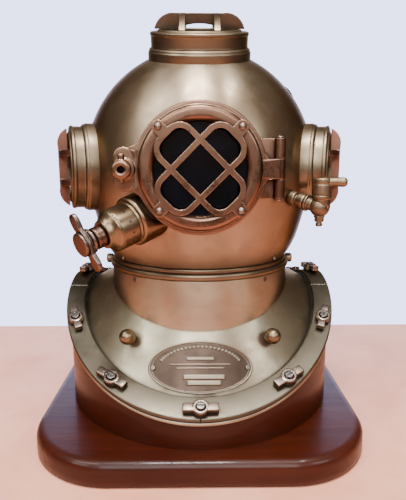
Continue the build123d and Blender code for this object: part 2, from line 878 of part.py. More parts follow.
def light_ring(plane, opening, glass, ring, flange_top, ring_top):
    """Screwed ring that holds the glass down, with a lip inside its face."""
    low = flange_top + seat_gap
    glass_top = low + light_gasket_thickness + light_glass_thickness + seat_gap * 2
    lip = (opening + glass) / 2
    return plane.location * turned(
        (glass + seat_gap, low),
        (ring, low),
        (ring, ring_top - light_edge),
        (ring - light_edge, ring_top),
        (lip, ring_top),
        (lip - light_edge, ring_top + light_lip_height),
        (opening, ring_top + light_lip_height),
        (opening, glass_top),
        (glass + seat_gap, glass_top),
    )


def light_gasket(plane, opening, glass, flange_top):
    low = flange_top + seat_gap
    return plane.location * tube(opening, glass, low, low + light_gasket_thickness)


def light_glass(plane, glass, flange_top):
    low = flange_top + seat_gap * 2 + light_gasket_thickness
    return plane.location * tube(0, glass, low, low + light_glass_thickness)


def light_guard(plane, opening, half_length, ring_top, guard_top, gap_height_share, along_x):
    """Guard of a side or top light: one long plate on edge, and two short ones across it."""
    low = ring_top + light_lip_height + seat_gap
    height = guard_top - low
    flat = half_length * guard_flat_share
    outline = [Line((-half_length, low), (half_length, low))]
    right_end = ThreePointArc(
        (half_length, low),
        (flat + (half_length - flat) * math.sqrt(1 / 2), low + height * math.sqrt(1 / 2)),
        (flat, guard_top),
    )
    left_end = ThreePointArc(
        (-flat, guard_top),
        (-flat - (half_length - flat) * math.sqrt(1 / 2), low + height * math.sqrt(1 / 2)),
        (-half_length, low),
    )
    outline += [right_end, Line((flat, guard_top), (-flat, guard_top)), left_end]
    plate = extrude(Plane.XZ * make_face(outline), guard_bar_thickness / 2, both=True)
    gap_half = half_length * guard_gap_length_share
    gap_arch = ThreePointArc(
        (gap_half, low - overrun),
        (0, low + height * gap_height_share),
        (-gap_half, low - overrun),
    )
    gap_face = make_face([gap_arch, Line(gap_arch @ 1, gap_arch @ 0)])
    plate -= extrude(Plane.XZ * gap_face, guard_bar_thickness, both=True)
    cross_place = half_length * guard_cross_place_share
    reach = math.sqrt((opening + light_edge) ** 2 - cross_place ** 2)
    outer = ThreePointArc((-reach, low), (0, guard_top), (reach, low))
    inner_reach = reach - guard_cross_depth
    inner = ThreePointArc((inner_reach, low), (0, guard_top - guard_cross_depth), (-inner_reach, low))
    arch = make_face([outer, Line(outer @ 1, inner @ 0), inner, Line(inner @ 1, outer @ 0)])
    cross = extrude(Plane.YZ * arch, guard_cross_width / 2, both=True)
    for side in (-1, 1):
        plate += Location((side * cross_place, 0, 0)) * cross
    turn = Rotation(0, 0, 0) if along_x else Rotation(0, 0, 90)
    return plane.location * (turn * plate)


def front_port_frame():
    """Fixed frame of the front light, with the hinge knuckles and the block that the latch screw enters."""
    opening = front_frame_opening_radius
    sleeve = opening + light_sleeve_wall / 2
    body = front_light.location * tube(opening, sleeve, front_frame_depth, front_frame_face)
    collar = tube(sleeve - seat_gap, front_frame_radius, front_frame_depth, front_frame_face)
    face_y = -front_frame_face
    knuckle_low = hinge_tongue_height / 2 + hinge_end_gap
    knuckle_high = knuckle_low + hinge_knuckle_height
    seats = (front_light.location * collar)
    leaf_y = hinge_y + hinge_leaf_inset
    for side in (-1, 1):
        ends = sorted((bonnet_centre_z + side * knuckle_low, bonnet_centre_z + side * knuckle_high))
        knuckle = Location((hinge_x, hinge_y, 0)) * tube(0, hinge_knuckle_radius, ends[0], ends[1])
        leaf = block(opening, hinge_x, leaf_y, leaf_y + hinge_leaf_thickness, ends[0], ends[1])
        seats += knuckle + leaf
    latch_block = Plane(origin=(latch_x, face_y, bonnet_centre_z), x_dir=(1, 0, 0), z_dir=(0, 1, 0))
    seats += latch_block.location * tube(0, latch_block_radius, 0, latch_block_depth)
    arm_low = bonnet_centre_z - latch_block_radius
    arm_high = bonnet_centre_z + latch_block_radius
    seats += block(latch_x, -opening, face_y, face_y + latch_block_depth, arm_low, arm_high)
    seats -= front_light.location * tube(0, sleeve - seat_gap, 0, front_frame_face + overrun)
    seats -= bonnet_body(seat_gap, overrun)
    barrel_room = exhaust_barrel_radius + seat_gap
    seats -= exhaust_plane().location * tube(0, barrel_room, -exhaust_length, 0)
    body += seats.solids().sort_by(SortBy.VOLUME)[-1]
    hole_depth = latch_screw_travel + overrun
    body -= latch_block.location * tube(0, latch_screw_radius + running_gap, -overrun, hole_depth)
    reach = knuckle_high + overrun
    pin_hole = tube(0, hinge_pin_radius, bonnet_centre_z - reach, bonnet_centre_z + reach)
    body -= Location((hinge_x, hinge_y, 0)) * pin_hole
    return body


def hinge_pin():
    reach = hinge_tongue_height / 2 + hinge_end_gap + hinge_knuckle_height
    low = bonnet_centre_z - reach - seat_gap
    high = bonnet_centre_z + reach + seat_gap
    pin = tube(0, hinge_pin_radius - running_gap, low, high)
    pin += tube(0, hinge_pin_head_radius, high, high + hinge_pin_head_height)
    pin += tube(0, hinge_pin_head_radius, low - hinge_pin_head_height, low)
    return Location((hinge_x, hinge_y, 0)) * pin


def door_outline():
    """Flat outline of the door plate, seen from the front: disc, hinge tongue and latch lug."""
    tongue_half = hinge_tongue_height / 2
    disc = Circle(door_plate_radius)
    tongue = make_face(Polyline(
        (hinge_root_x, hinge_root_width / 2),
        (hinge_x - hinge_knuckle_radius * 2, tongue_half),
        (hinge_x, tongue_half),
        (hinge_x, -tongue_half),
        (hinge_x - hinge_knuckle_radius * 2, -tongue_half),
        (hinge_root_x, -hinge_root_width / 2),
        (0, 0),
        close=True,
    ))
    lug = make_face(Polyline(
        (latch_lug_root_x, latch_lug_half_height + latch_lug_flare),
        (latch_x + latch_lug_end_radius / 2, latch_lug_half_height),
        (latch_x - latch_lug_end_radius, latch_lug_half_height),
        (latch_x - latch_lug_end_radius, -latch_lug_half_height),
        (latch_x + latch_lug_end_radius / 2, -latch_lug_half_height),
        (latch_lug_root_x, -latch_lug_half_height - latch_lug_flare),
        (0, 0),
        close=True,
    ))
    return disc + tongue + lug


def front_door():
    """Hinged door of the front light: plate, crowned ring, tongue with its barrel, and latch lug."""
    plate_front = door_back + door_plate_thickness
    ring_front = plate_front + door_ring_height
    front = Plane(origin=(0, -door_back, bonnet_centre_z), x_dir=(1, 0, 0), z_dir=(0, -1, 0))
    door = front.location * extrude(door_outline(), door_plate_thickness)
    flank = door_ring_height / 2
    ring_outline = [
        Line((door_opening_radius, plate_front - overrun), (door_ring_radius, plate_front - overrun)),
        Line((door_ring_radius, plate_front - overrun), (door_ring_radius, plate_front + flank)),
        ThreePointArc(
            (door_ring_radius, plate_front + flank),
            (door_ring_radius - flank * (1 - math.sqrt(1 / 2)), ring_front - flank * (1 - math.sqrt(1 / 2))),
            (door_ring_radius - flank, ring_front),
        ),
        Line((door_ring_radius - flank, ring_front), (door_ring_land_inner, ring_front)),
        Line((door_ring_land_inner, ring_front), (door_opening_radius, ring_front - flank / 2)),
        Line((door_opening_radius, ring_front - flank / 2), (door_opening_radius, plate_front - overrun)),
    ]
    door += front_light.location * revolve(Plane.XZ * make_face(ring_outline), Axis.Z)
    door -= front_light.location * tube(0, door_opening_radius, door_back - overrun, ring_front + overrun)
    glass_room = door_glass_radius + seat_gap
    door -= front_light.location * tube(0, glass_room, door_back - overrun, plate_front + door_glass_set_back)
    half = hinge_tongue_height / 2
    barrel_low = bonnet_centre_z - half
    barrel_high = bonnet_centre_z + half
    hinge_place = Location((hinge_x, hinge_y, 0))
    door += hinge_place * tube(0, hinge_knuckle_radius, barrel_low, barrel_high)
    door -= hinge_place * tube(0, hinge_pin_radius, barrel_low - overrun, barrel_high + overrun)
    boss = Plane(origin=(latch_x, -plate_front, bonnet_centre_z), x_dir=(1, 0, 0), z_dir=(0, -1, 0))
    door += boss.location * tube(0, latch_boss_radius, -overrun, latch_boss_height)
    through = door_plate_thickness + overrun
    door -= boss.location * tube(0, latch_screw_radius + running_gap, -through, latch_boss_height + overrun)
    screw_hole = tube(0, grille_screw_radius + running_gap, -grille_screw_grip - seat_gap, overrun)
    for plane in grille_screw_planes():
        door -= plane.location * screw_hole
    return door


def grille_screw_planes():
    """Planes at the four screws of the grille, on its front face."""
    face = door_back + door_plate_thickness + door_ring_height + seat_gap + grille_thickness
    planes = []
    for corner in (45, 135, 225, 315):
        turn = math.radians(corner)
        across = grille_screw_circle * math.cos(turn)
        origin = (across, -face, bonnet_centre_z + grille_screw_circle * math.sin(turn))
        planes.append(Plane(origin=origin, x_dir=(1, 0, 0), z_dir=(0, -1, 0)))
    return planes


def front_glass_parts():
    """Glass of the door with the ring gasket in front of it and the screwed keeper behind it."""
    plate_front = door_back + door_plate_thickness
    step = plate_front + door_glass_set_back
    gasket_low = step - seat_gap - light_gasket_thickness
    glass_high = gasket_low - seat_gap
    gasket = tube(door_opening_radius, door_glass_radius, gasket_low, step - seat_gap)
    glass = tube(0, door_glass_radius, door_back + seat_gap * 2, glass_high)
    return front_light.location * glass, front_light.location * gasket


def grille_loop():
    """One rounded loop of the grille, a bar wide, along X."""
    outer = RectangleRounded(grille_reach * 2, grille_half_width * 2, grille_end_radius)
    bar = grille_bar_width
    inner = RectangleRounded((grille_reach - bar) * 2, (grille_half_width - bar) * 2, grille_end_radius - bar)
    return outer - inner


def front_grille():
    tab_length = grille_screw_circle
    bar = grille_bar_width
    tab = Pos(tab_length / 2, 0) * Rectangle(tab_length, grille_tab_width)
    tab += Pos(grille_screw_circle, 0) * Circle(grille_tab_width / 2)
    hollow = RectangleRounded((grille_reach - bar) * 2, (grille_half_width - bar) * 2, grille_end_radius - bar)
    tab -= hollow
    outline = Rot(0, 0, 45) * grille_loop() + Rot(0, 0, -45) * grille_loop()
    for corner in (45, 135, 225, 315):
        outline += Rot(0, 0, corner) * tab
    low = door_back + door_plate_thickness + door_ring_height + seat_gap
    plane = Plane(origin=(0, -low, bonnet_centre_z), x_dir=(1, 0, 0), z_dir=(0, -1, 0))
    grille = plane.location * extrude(outline, grille_thickness)
    for plane in grille_screw_planes():
        grille -= plane.location * tube(0, grille_screw_radius + seat_gap, -grille_thickness - overrun, overrun)
    return grille


def grille_screws():
    """Dome-headed screws: each head is a cap of a ball that meets the grille at the head's rim."""
    height = grille_screw_head_height
    ball = (grille_screw_head_radius ** 2 + height ** 2) / (2 * height)
    centre = seat_gap + height - ball
    dome = Location((0, 0, centre)) * Sphere(ball)
    dome &= tube(0, ball + overrun, seat_gap, centre + ball + overrun)
    screw = dome + tube(0, grille_screw_radius, -grille_screw_grip, seat_gap)
    return [plane.location * screw for plane in grille_screw_planes()]


def latch_plane():
    """Plane on the boss of the latch lug, with Z towards the viewer."""
    face = door_back + door_plate_thickness + latch_boss_height
    return Plane(origin=(latch_x, -face, bonnet_centre_z), x_dir=(1, 0, 0), z_dir=(0, -1, 0))


def latch_collar():
    """Loose collar on the latch screw, which travels with it and doesn't turn."""
    low = latch_screw_travel + seat_gap
    ring = tube(latch_screw_radius + running_gap, latch_collar_radius, low, low + latch_collar_height)
    rim = ring.edges().group_by(Axis.Z)[-1].sort_by(SortBy.LENGTH)[-1]
    return latch_plane().location * chamfer(rim, light_edge / 2)


def latch_wing_screw():
    """Wing screw of the door latch, drawn back so that its end lies inside the door."""
    tip = -door_plate_thickness - latch_boss_height + seat_gap
    neck_low = latch_screw_travel + latch_collar_height + seat_gap * 2
    neck_high = neck_low + latch_nut_neck_height
    disc_high = neck_high + latch_nut_height
    screw = tube(0, latch_screw_radius, tip, neck_low)
    screw += tube(0, latch_nut_neck_radius, neck_low, neck_high)
    disc = tube(0, latch_nut_radius, neck_high, disc_high)
    screw += fillet(disc.edges().group_by(Axis.Z)[-1], latch_nut_bore_radius / 2)
    ear_start = latch_nut_radius - latch_ear_width / 2
    ear_end = ear_start + latch_ear_length
    ear_low = neck_high - latch_ear_height / 2
    half_width = latch_ear_width / 2
    for side in (-1, 1):
        ends = sorted((side * ear_start, side * ear_end))
        ear = block(-half_width, half_width, ends[0], ends[1], ear_low, ear_low + latch_ear_height)
        screw += fillet(ear.edges().filter_by(Axis.Z), latch_ear_width / 5)
    screw -= tube(0, latch_nut_bore_radius, disc_high - latch_nut_bore_depth, disc_high + overrun)
    return latch_plane().location * screw


def exhaust_valve_body():
    """Root, barrel and seat of the exhaust valve, with a row of vents round the barrel."""
    bore = exhaust_barrel_radius - exhaust_wall
    seat_high = -exhaust_disc_start - exhaust_disc_height - seat_gap
    body = turned(
        (exhaust_seat_radius, -exhaust_length),
        (exhaust_barrel_radius, -exhaust_length),
        (exhaust_barrel_radius, -exhaust_barrel_start),
        (bore, -exhaust_barrel_start),
        (bore, seat_high),
        (exhaust_seat_radius, seat_high),
    )
    vent = tube(0, exhaust_vent_radius, bore - overrun, exhaust_barrel_radius + overrun)
    vent = Location((0, 0, -exhaust_vent_place)) * (Rotation(0, 90, 0) * vent)
    for index in range(exhaust_vents):
        body -= Rotation(0, 0, 360 * index / exhaust_vents) * vent
    root = turned(
        (exhaust_barrel_radius - seat_gap, -exhaust_length),
        (exhaust_root_radius, -exhaust_length),
        (exhaust_root_radius, -exhaust_root_start - light_edge),
        (exhaust_root_radius - light_edge, -exhaust_root_start),
        (exhaust_barrel_radius - seat_gap, -exhaust_root_start),
    )
    place = exhaust_plane().location
    body = (place * body) - bonnet_body(-bonnet_wall, overrun)
    body = body.solids().sort_by(SortBy.VOLUME)[-1]
    door_room = door_plate_radius + seat_gap * 2
    body -= front_light.location * tube(0, door_room, door_back - seat_gap * 2, bonnet_radius * 2)
    seated = (place * root) - bonnet_body(seat_gap, overrun)
    seated -= front_light.location * tube(0, door_room, bonnet_radius / 2, bonnet_radius * 2)
    return body + seated.solids().sort_by(SortBy.VOLUME)[-1]


def exhaust_valve_cap():
    """Tapered cap screwed on the barrel, bored for the handle's stem."""
    low = -exhaust_barrel_start + seat_gap
    bore = exhaust_barrel_radius - exhaust_wall
    skirt = low - exhaust_wall
    return exhaust_plane().location * turned(
        (exhaust_stem_radius + running_gap, -exhaust_cap_start),
        (exhaust_cap_radius - light_edge, -exhaust_cap_start),
        (exhaust_cap_radius, -exhaust_cap_start - light_edge),
        (exhaust_barrel_radius, low),
        (bore - running_gap * 2, low),
        (bore - running_gap * 2, skirt),
        (bore - exhaust_wall, skirt),
        (exhaust_cap_radius - exhaust_cap_wall, -exhaust_cap_start - exhaust_cap_wall),
        (exhaust_stem_radius + running_gap, -exhaust_cap_start - exhaust_cap_wall),
    )


def exhaust_handle():
    """Button, wing bar, back disc and collar of the valve's handle, on one stem."""
    wing_low = -exhaust_wing_start - exhaust_wing_height
    disc_low = wing_low - exhaust_back_disc_height
    collar_low = -exhaust_cap_start + seat_gap
    button = tube(0, exhaust_button_radius, -exhaust_button_height, 0)
    button = fillet(button.edges().group_by(Axis.Z)[-1], exhaust_button_edge)
    handle = button + tube(0, exhaust_hub_radius, wing_low, -exhaust_button_height)
    wing = Plane.XY.offset(wing_low) * SlotOverall(exhaust_wing_length, exhaust_wing_width)
    wing = extrude(wing, exhaust_wing_height)
    handle += fillet(wing.edges().group_by(Axis.Z)[-1], exhaust_button_edge)
    handle += tube(0, exhaust_back_disc_radius, disc_low, wing_low)
    handle += tube(0, exhaust_collar_radius, collar_low, disc_low)
    handle += tube(0, exhaust_stem_radius, -exhaust_stem_end, collar_low)
    return exhaust_plane().location * handle


follower_top = exhaust_cap_start + exhaust_cap_wall + seat_gap


def exhaust_follower():
    """Plate that the stem's thread pushes down on the spring."""
    low = -follower_top - exhaust_follower_height
    plate = tube(exhaust_stem_radius + running_gap, exhaust_follower_radius, low, -follower_top)
    return exhaust_plane().location * plate


def exhaust_spring():
    """Coil spring on the valve disc: one unbroken wire, in half turns."""
    low = -exhaust_disc_start + exhaust_spring_wire / 2 + seat_gap
    high = -follower_top - exhaust_follower_height - exhaust_spring_wire / 2 - seat_gap
    high -= exhaust_follower_travel + exhaust_disc_lift
    rise = high - low
    helix = Edge.make_helix(rise / exhaust_spring_turns, rise, exhaust_spring_radius)
    section = Plane(origin=helix @ 0, z_dir=helix % 0) * Circle(exhaust_spring_wire / 2)
    wire = sweep(section, path=helix, is_frenet=True)
    return exhaust_plane().location * (Location((0, 0, low)) * wire)


def exhaust_disc():
    """Valve disc with its guide stem."""
    low = -exhaust_disc_start - exhaust_disc_height
    disc = tube(0, exhaust_disc_radius, low, -exhaust_disc_start)
    disc += tube(0, exhaust_stem_radius, low - exhaust_seat_height, low)
    return exhaust_plane().location * disc


def spit_ball_point():
    return (spit_light.location * Location((0, 0, spit_ball_place))).position


def spitcock_body():
    """Stub on the bonnet, collars, ball, upright seat for the plug, and the nipple below."""
    stub = tube(0, spit_stub_radius, bonnet_radius - bonnet_wall - spit_root_depth, spit_ball_place)
    shoulder = tube(0, spit_shoulder_radius, bonnet_radius - bonnet_wall, spit_shoulder_end)
    collar = tube(0, spit_collar_radius, spit_collar_start, spit_collar_end)
    collar = fillet(collar.edges(), light_edge)
    band = tube(0, spit_band_radius, spit_band_start, spit_band_end)
    band = fillet(band.edges(), light_edge)
    seated = (spit_light.location * shoulder) - bonnet_body(seat_gap, overrun)
    body = (spit_light.location * (stub + collar + band)) + seated
    ball = spit_ball_point()
    body += Location(ball) * Sphere(spit_ball_radius)
    tower = tube(0, spit_tower_radius, 0, spit_tower_height)
    band_low = spit_tower_height - spit_tower_band_height
    tower += tube(0, spit_tower_band_radius, band_low, spit_tower_height)
    body += spit_tower_place() * tower
    nipple_low = -spit_ball_radius - spit_nipple_height
    nipple_face = RegularPolygon(spit_nipple_radius, 6)
    nipple = extrude(Plane.XY.offset(nipple_low) * nipple_face, spit_nipple_height + spit_ball_radius / 2)
    nipple += tube(0, spit_tip_radius, nipple_low - spit_tip_height, nipple_low)
    body += Location(ball) * nipple
    bore_low = spit_tower_height - spit_plug_depth - seat_gap
    body -= spit_tower_place() * tube(0, spit_plug_radius + running_gap, bore_low, spit_tower_height + overrun)
    knob_room = spit_tower_height + spit_knob_height
    body -= spit_tower_place() * tube(0, spit_knob_radius + seat_gap, spit_tower_height, knob_room)
    mouth = nipple_low - spit_tip_height
    body -= Location(ball) * tube(0, spit_bore_radius, mouth - overrun, mouth + spit_bore_depth)
    return body


def spit_tower_place():
    """Location of the plug's upright axis at the height of the ball's centre."""
    ball = spit_ball_point()
    shift = at_azimuth(spit_lever_azimuth, spit_tower_offset)
    return Location(ball + shift)


def spitcock_plug():
    """Plug with its round cap and lever, turned about an upright axis."""
    low = spit_tower_height + seat_gap
    high = low + spit_knob_height
    knob = tube(0, spit_knob_radius, low, high)
    knob = fillet(knob.edges().group_by(Axis.Z)[-1], spit_knob_edge)
    plug = knob + tube(0, spit_plug_radius, spit_tower_height - spit_plug_depth, low)
    lever_height = high - spit_lever_radius + spit_knob_edge
    start = at_azimuth(spit_lever_azimuth, 0, lever_height)
    across = at_azimuth(spit_lever_azimuth + 90, 1)
    plane = Plane(origin=start, x_dir=across, z_dir=at_azimuth(spit_lever_azimuth, 1))
    lever = tube(0, spit_lever_radius, 0, spit_lever_length)
    lever += Location((0, 0, spit_lever_length)) * Sphere(spit_lever_radius)
    return spit_tower_place() * (plug + plane.location * lever)


def elbow_screw_bodies(azimuth, shank, head):
    bodies = []
    base = bonnet_radius + elbow_flange_height
    circle = elbow_flange_radius - elbow_screw_inset
    for index in range(elbow_screw_count):
        turn = 360 * (index + 1 / 2) / elbow_screw_count
        place = Rotation(0, 0, turn) * Location((circle, 0, 0))
        depth = bonnet_wall + elbow_flange_height + elbow_screw_head_height
        body = tube(0, shank, base - depth, base + seat_gap)
        body += tube(0, head, base + seat_gap, base + seat_gap + elbow_screw_head_height)
        bodies.append(elbow_plane(azimuth).location * (place * body))
    return bodies


def elbow_bodies(azimuth):
    """Outside and bore of an elbow: out of the bonnet, round a bend and down."""
    plane = elbow_plane(azimuth)
    base = bonnet_radius + elbow_flange_height
    start = plane.origin + plane.z_dir * (bonnet_radius - bonnet_wall * 2)
    corner = plane.origin + plane.z_dir * (base + elbow_stem_height + elbow_bend_radius)
    lean = math.radians(elbow_lean_angle)
    down = at_azimuth(azimuth, math.sin(lean), -math.cos(lean))
    end = corner + down * (elbow_bend_radius * 2 + elbow_drop)
    path = FilletPolyline(start, corner, end, radius=elbow_bend_radius)
    section_plane = Plane(origin=path @ 0, z_dir=path % 0)
    outside = sweep(section_plane * Circle(elbow_tube_radius), path=path)
    bore = sweep(section_plane * Circle(elbow_bore_radius), path=path)
    mouth = Plane(origin=end, x_dir=at_azimuth(azimuth + 90, 1), z_dir=-down)
    return outside, bore, mouth


def elbow(azimuth):
    outside, bore, mouth = elbow_bodies(azimuth)
    base = bonnet_radius + elbow_flange_height
    flange = tube(elbow_tube_radius - seat_gap, elbow_flange_radius, bonnet_radius - elbow_flange_height, base)
    flange = (elbow_plane(azimuth).location * flange) - bonnet_body(seat_gap, overrun)
    body = outside + flange.solids().sort_by(SortBy.VOLUME)[-1]
    union = tube(0, elbow_union_radius, 0, elbow_union_height)
    union = chamfer(union.edges(), light_edge)
    body += mouth.location * union
    body -= bore
    body -= mouth.location * tube(0, elbow_bore_radius, -overrun, elbow_union_height)
    for cutter in elbow_screw_bodies(azimuth, elbow_screw_radius + seat_gap, elbow_screw_head_radius):
        body -= cutter
    return body


def elbow_screws():
    screws = []
    for azimuth in elbow_azimuths.values():
        screws += elbow_screw_bodies(azimuth, elbow_screw_radius, elbow_screw_head_radius)
    return screws


def write(node, shape):
    """Write one node: a solid, or a group of separate solids."""
    solids = []
    for piece in shape if isinstance(shape, list) else [shape]:
        solids += piece.solids()
    export_step(solids[0] if len(solids) == 1 else Compound(children=solids), f"parts/{node}.step")
    print(node, len(solids), round(sum(solid.volume for solid in solids)))


def build_stand():
    write("base_board", base_board())
    write("base_riser", base_riser())
    write("base_screws", base_screws())


def build_breastplate():
    write("breastplate", breastplate())
    write("neck_ring", neck_ring())
    write("neck_ring_screws", neck_screw_bodies(neck_screw_radius, neck_screw_head_radius))
    write("neck_gasket", neck_gasket())
    write("rim_gasket", rim_gasket())
    for node, start in strap_starts.items():
        write(node, brail(start))
    write("brail_studs", brail_studs())
    write("brail_wing_nuts", brail_wing_nuts())
    write("lanyard_studs", lanyard_studs())
    write("name_plate", name_plate())
    write("name_plate_screws", name_plate_screws())


def build_bonnet():
    write("bonnet_shell", bonnet_shell())
    write("bonnet_neck_ring", bonnet_neck_ring())
    write("bonnet_ring_rivets", ring_rivets())
    for azimuth_name, azimuth in elbow_azimuths.items():
        write(azimuth_name, elbow(azimuth))
    write("elbow_screws", elbow_screws())


def write_light(name, plane, radii, flange, tops, guard_half_length, gap_height_share, guard_across):
    """Write the frame, ring, gasket, glass and guard of a side or top light."""
    opening, glass, ring = radii
    flange_top, ring_top, guard_top = tops
    write(name + "_frame", placed_light_frame(plane, opening, flange, flange_top))
    write(name + "_ring", light_ring(plane, opening, glass, ring, flange_top, ring_top))
    write(name + "_gasket", light_gasket(plane, opening, glass, flange_top))
    write(name + "_glass", light_glass(plane, glass, flange_top))
    guard_sizes = (guard_half_length, ring_top, guard_top, gap_height_share)
    guard = light_guard(plane, opening, *guard_sizes, guard_across)
    write(name + "_guard", guard)


def build_lights():
    side_radii = (side_light_opening_radius, side_light_glass_radius, side_light_ring_radius)
    side_tops = (side_light_flange_top, side_light_ring_top, side_light_guard_top)
    side_guard = (side_light_guard_half_length, side_guard_gap_height_share)
    side_sizes = (side_radii, side_light_flange_radius, side_tops, *side_guard)
    for name, plane in (("left_light", left_light), ("right_light", right_light)):
        write_light(name, plane, *side_sizes, False)
    top_radii = (top_light_opening_radius, top_light_glass_radius, top_light_ring_radius)
    top_tops = (top_light_flange_top, top_light_ring_top, top_light_guard_top)
    top_guard = (top_light_guard_half_length, top_guard_gap_height_share)
    top_sizes = (top_radii, top_light_flange_radius, top_tops, *top_guard)
    write_light("top_light", top_light, *top_sizes, True)


def build_front_light():
    write("front_port_frame", front_port_frame())
    write("hinge_pin", hinge_pin())
    write("front_door", front_door())
    glass, gasket = front_glass_parts()
    write("front_glass", glass)
    write("front_glass_gasket", gasket)
    write("front_grille", front_grille())
    write("grille_screws", grille_screws())
    write("latch_collar", latch_collar())
    write("latch_wing_screw", latch_wing_screw())


def build_valves():
    write("exhaust_valve_body", exhaust_valve_body())
    write("exhaust_valve_cap", exhaust_valve_cap())
    write("exhaust_handle", exhaust_handle())
    write("exhaust_follower", exhaust_follower())
    write("exhaust_spring", exhaust_spring())
    write("exhaust_disc", exhaust_disc())
    write("spitcock_body", spitcock_body())
    write("spitcock_plug", spitcock_plug())


build_stand()
build_breastplate()
build_bonnet()
build_lights()
build_front_light()
build_valves()
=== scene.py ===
import math

import bmesh
import bpy
import numpy as np
from mathutils import Matrix


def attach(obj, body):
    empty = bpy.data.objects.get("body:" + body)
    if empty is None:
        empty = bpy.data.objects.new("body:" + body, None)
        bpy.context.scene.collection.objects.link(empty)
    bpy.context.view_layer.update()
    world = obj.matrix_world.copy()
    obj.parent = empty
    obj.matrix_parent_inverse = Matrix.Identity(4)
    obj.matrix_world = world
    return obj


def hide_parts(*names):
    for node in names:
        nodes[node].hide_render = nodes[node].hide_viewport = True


# Looks of a brass diving helmet on a wooden stand. Shapes are in millimetres until a mesh is made of them,
# finishes and the room in metres. Outlines list (radius, height) about the axis of their place.

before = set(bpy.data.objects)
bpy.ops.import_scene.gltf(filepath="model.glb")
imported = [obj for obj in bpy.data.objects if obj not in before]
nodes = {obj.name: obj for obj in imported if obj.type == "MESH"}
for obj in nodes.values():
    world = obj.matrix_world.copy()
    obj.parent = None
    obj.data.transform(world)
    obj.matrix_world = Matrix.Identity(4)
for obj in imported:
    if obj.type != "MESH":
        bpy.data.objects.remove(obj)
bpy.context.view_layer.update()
METRE = 0.001
TURN = 2 * math.pi

BONNET_Z = 323
BONNET_R = 143.5
NECK_R = 114.5
RIM_R = 174
FLANGE_R = 150
STUD_CIRCLE = 163.5
STUD_AZIMUTHS = (0, 37, 71, 104, 122, 150, 180, -150, -122, -104, -71, -37)
STRAP_LOW = 3.1
STRAP_TOP = 6.7
NECK_TOP = 198.5
BOARD_HALF = 194
BOARD_CORNER_R = 98
BOARD_TOP = 28
# gap between a part and the seat that it is soldered or screwed to
SEAT_GAP = 0.3
# apex, slope, ridge's place along Y and its rounding, for the upper and the lower edge of the sloping plate
CREASE_ROOF = (206.5, 0.46, 25, 40)
RIM_ROOF = (183.3, 0.575, 38, 24)
# largest share of a side that the rounding of one of its corners takes up
MOST_OF_SIDE = 0.48
# points on a rounded corner
CORNER_STEPS = 5
# angle in degrees from which the edge of a CAD piece counts as sharp
SHARP = 32


# shapes as arrays

def ring_point(azimuth, radius, height):
    """Points at azimuths in degrees from the front, radii from the vertical axis, and heights."""
    turn, radius, height = np.broadcast_arrays(np.radians(azimuth), radius, height)
    return np.stack([radius * np.sin(turn), -radius * np.cos(turn), height], axis=-1)


def unit(vector):
    vector = np.asarray(vector, float)
    return vector / np.linalg.norm(vector, axis=-1, keepdims=True)


def place_at(origin, out, across):
    """Origin and axes of a piece: Z leaves along out, X lies along across, Y completes them."""
    z_axis = unit(out)
    x_axis = unit(np.asarray(across, float) - z_axis * np.dot(across, z_axis))
    return np.asarray(origin, float), np.stack([x_axis, np.cross(z_axis, x_axis), z_axis], axis=1)


def moved(points, place):
    """Points in a place's own axes, carried into the helmet's frame."""
    origin, axes = place
    return points @ axes.T + origin


def upright(origin):
    return place_at(origin, (0, 0, 1), (1, 0, 0))


def forward(x, depth=0):
    """Place on the front light's axis or beside it whose Z leaves to the front."""
    return place_at((x, -depth, BONNET_Z), (0, -1, 0), (1, 0, 0))


UPRIGHT = upright((0, 0, 0))


def softened(corners, rounding, closed=True):
    """Outline with rounded corners: each corner gives way to a short parabola that meets both sides.

    A corner is one point, or a whole curve of points where a section is carried along a line.
    """
    corner = np.array(corners, float)
    ones = (1,) * (corner.ndim - 1)
    to_last = np.roll(corner, 1, axis=0) - corner
    to_next = np.roll(corner, -1, axis=0) - corner
    reach = np.broadcast_to(np.asarray(rounding, float), (len(corner),)).reshape((-1,) + ones)
    last_length = np.linalg.norm(to_last, axis=-1, keepdims=True)
    next_length = np.linalg.norm(to_next, axis=-1, keepdims=True)
    start = corner + to_last / last_length * np.minimum(reach, last_length * MOST_OF_SIDE)
    end = corner + to_next / next_length * np.minimum(reach, next_length * MOST_OF_SIDE)
    t = np.linspace(0, 1, CORNER_STEPS).reshape((1, CORNER_STEPS) + ones)
    curve = (1 - t) ** 2 * start[:, None] + 2 * t * (1 - t) * corner[:, None] + t ** 2 * end[:, None]
    if not closed:
        curve[0] = corner[0]
        curve[-1] = corner[-1]
    return curve.reshape((-1,) + corner.shape[1:])


def around(steps, full=TURN):
    """Even steps of a full turn, in radians or, with full as 360, in degrees."""
    return np.linspace(0, full, steps, endpoint=False)


def polar(reach, turn, height):
    """Points at a reach from the Z axis and a turn about it, in radians from X, at a height."""
    reach, turn, height = np.broadcast_arrays(reach, turn, height)
    return np.stack([reach * np.cos(turn), reach * np.sin(turn), height], axis=-1)


def arc(radius, height, first, last, steps):
    """Part of a circle about a point of the axis, as (radius, height), between two angles in degrees."""
    turn = np.radians(np.linspace(first, last, steps))
    return np.stack([radius * np.cos(turn), height + radius * np.sin(turn)], axis=1)


def turned(outline, place, sides):
    """Surface of a turned piece: each (radius, height) of the outline is carried round the place's Z axis."""
    outline = np.asarray(outline, float)
    turn = around(sides)
    return moved(polar(outline[:, :1], turn, outline[:, 1:]), place)


def lathed(outline, rounding, place=UPRIGHT, sides=240):
    """Grid of a turned piece with rounded corners. An outline that starts on the axis is left open there."""
    closed = outline[0][0] > 0
    return turned(softened(outline, rounding, closed), place, sides), closed, True


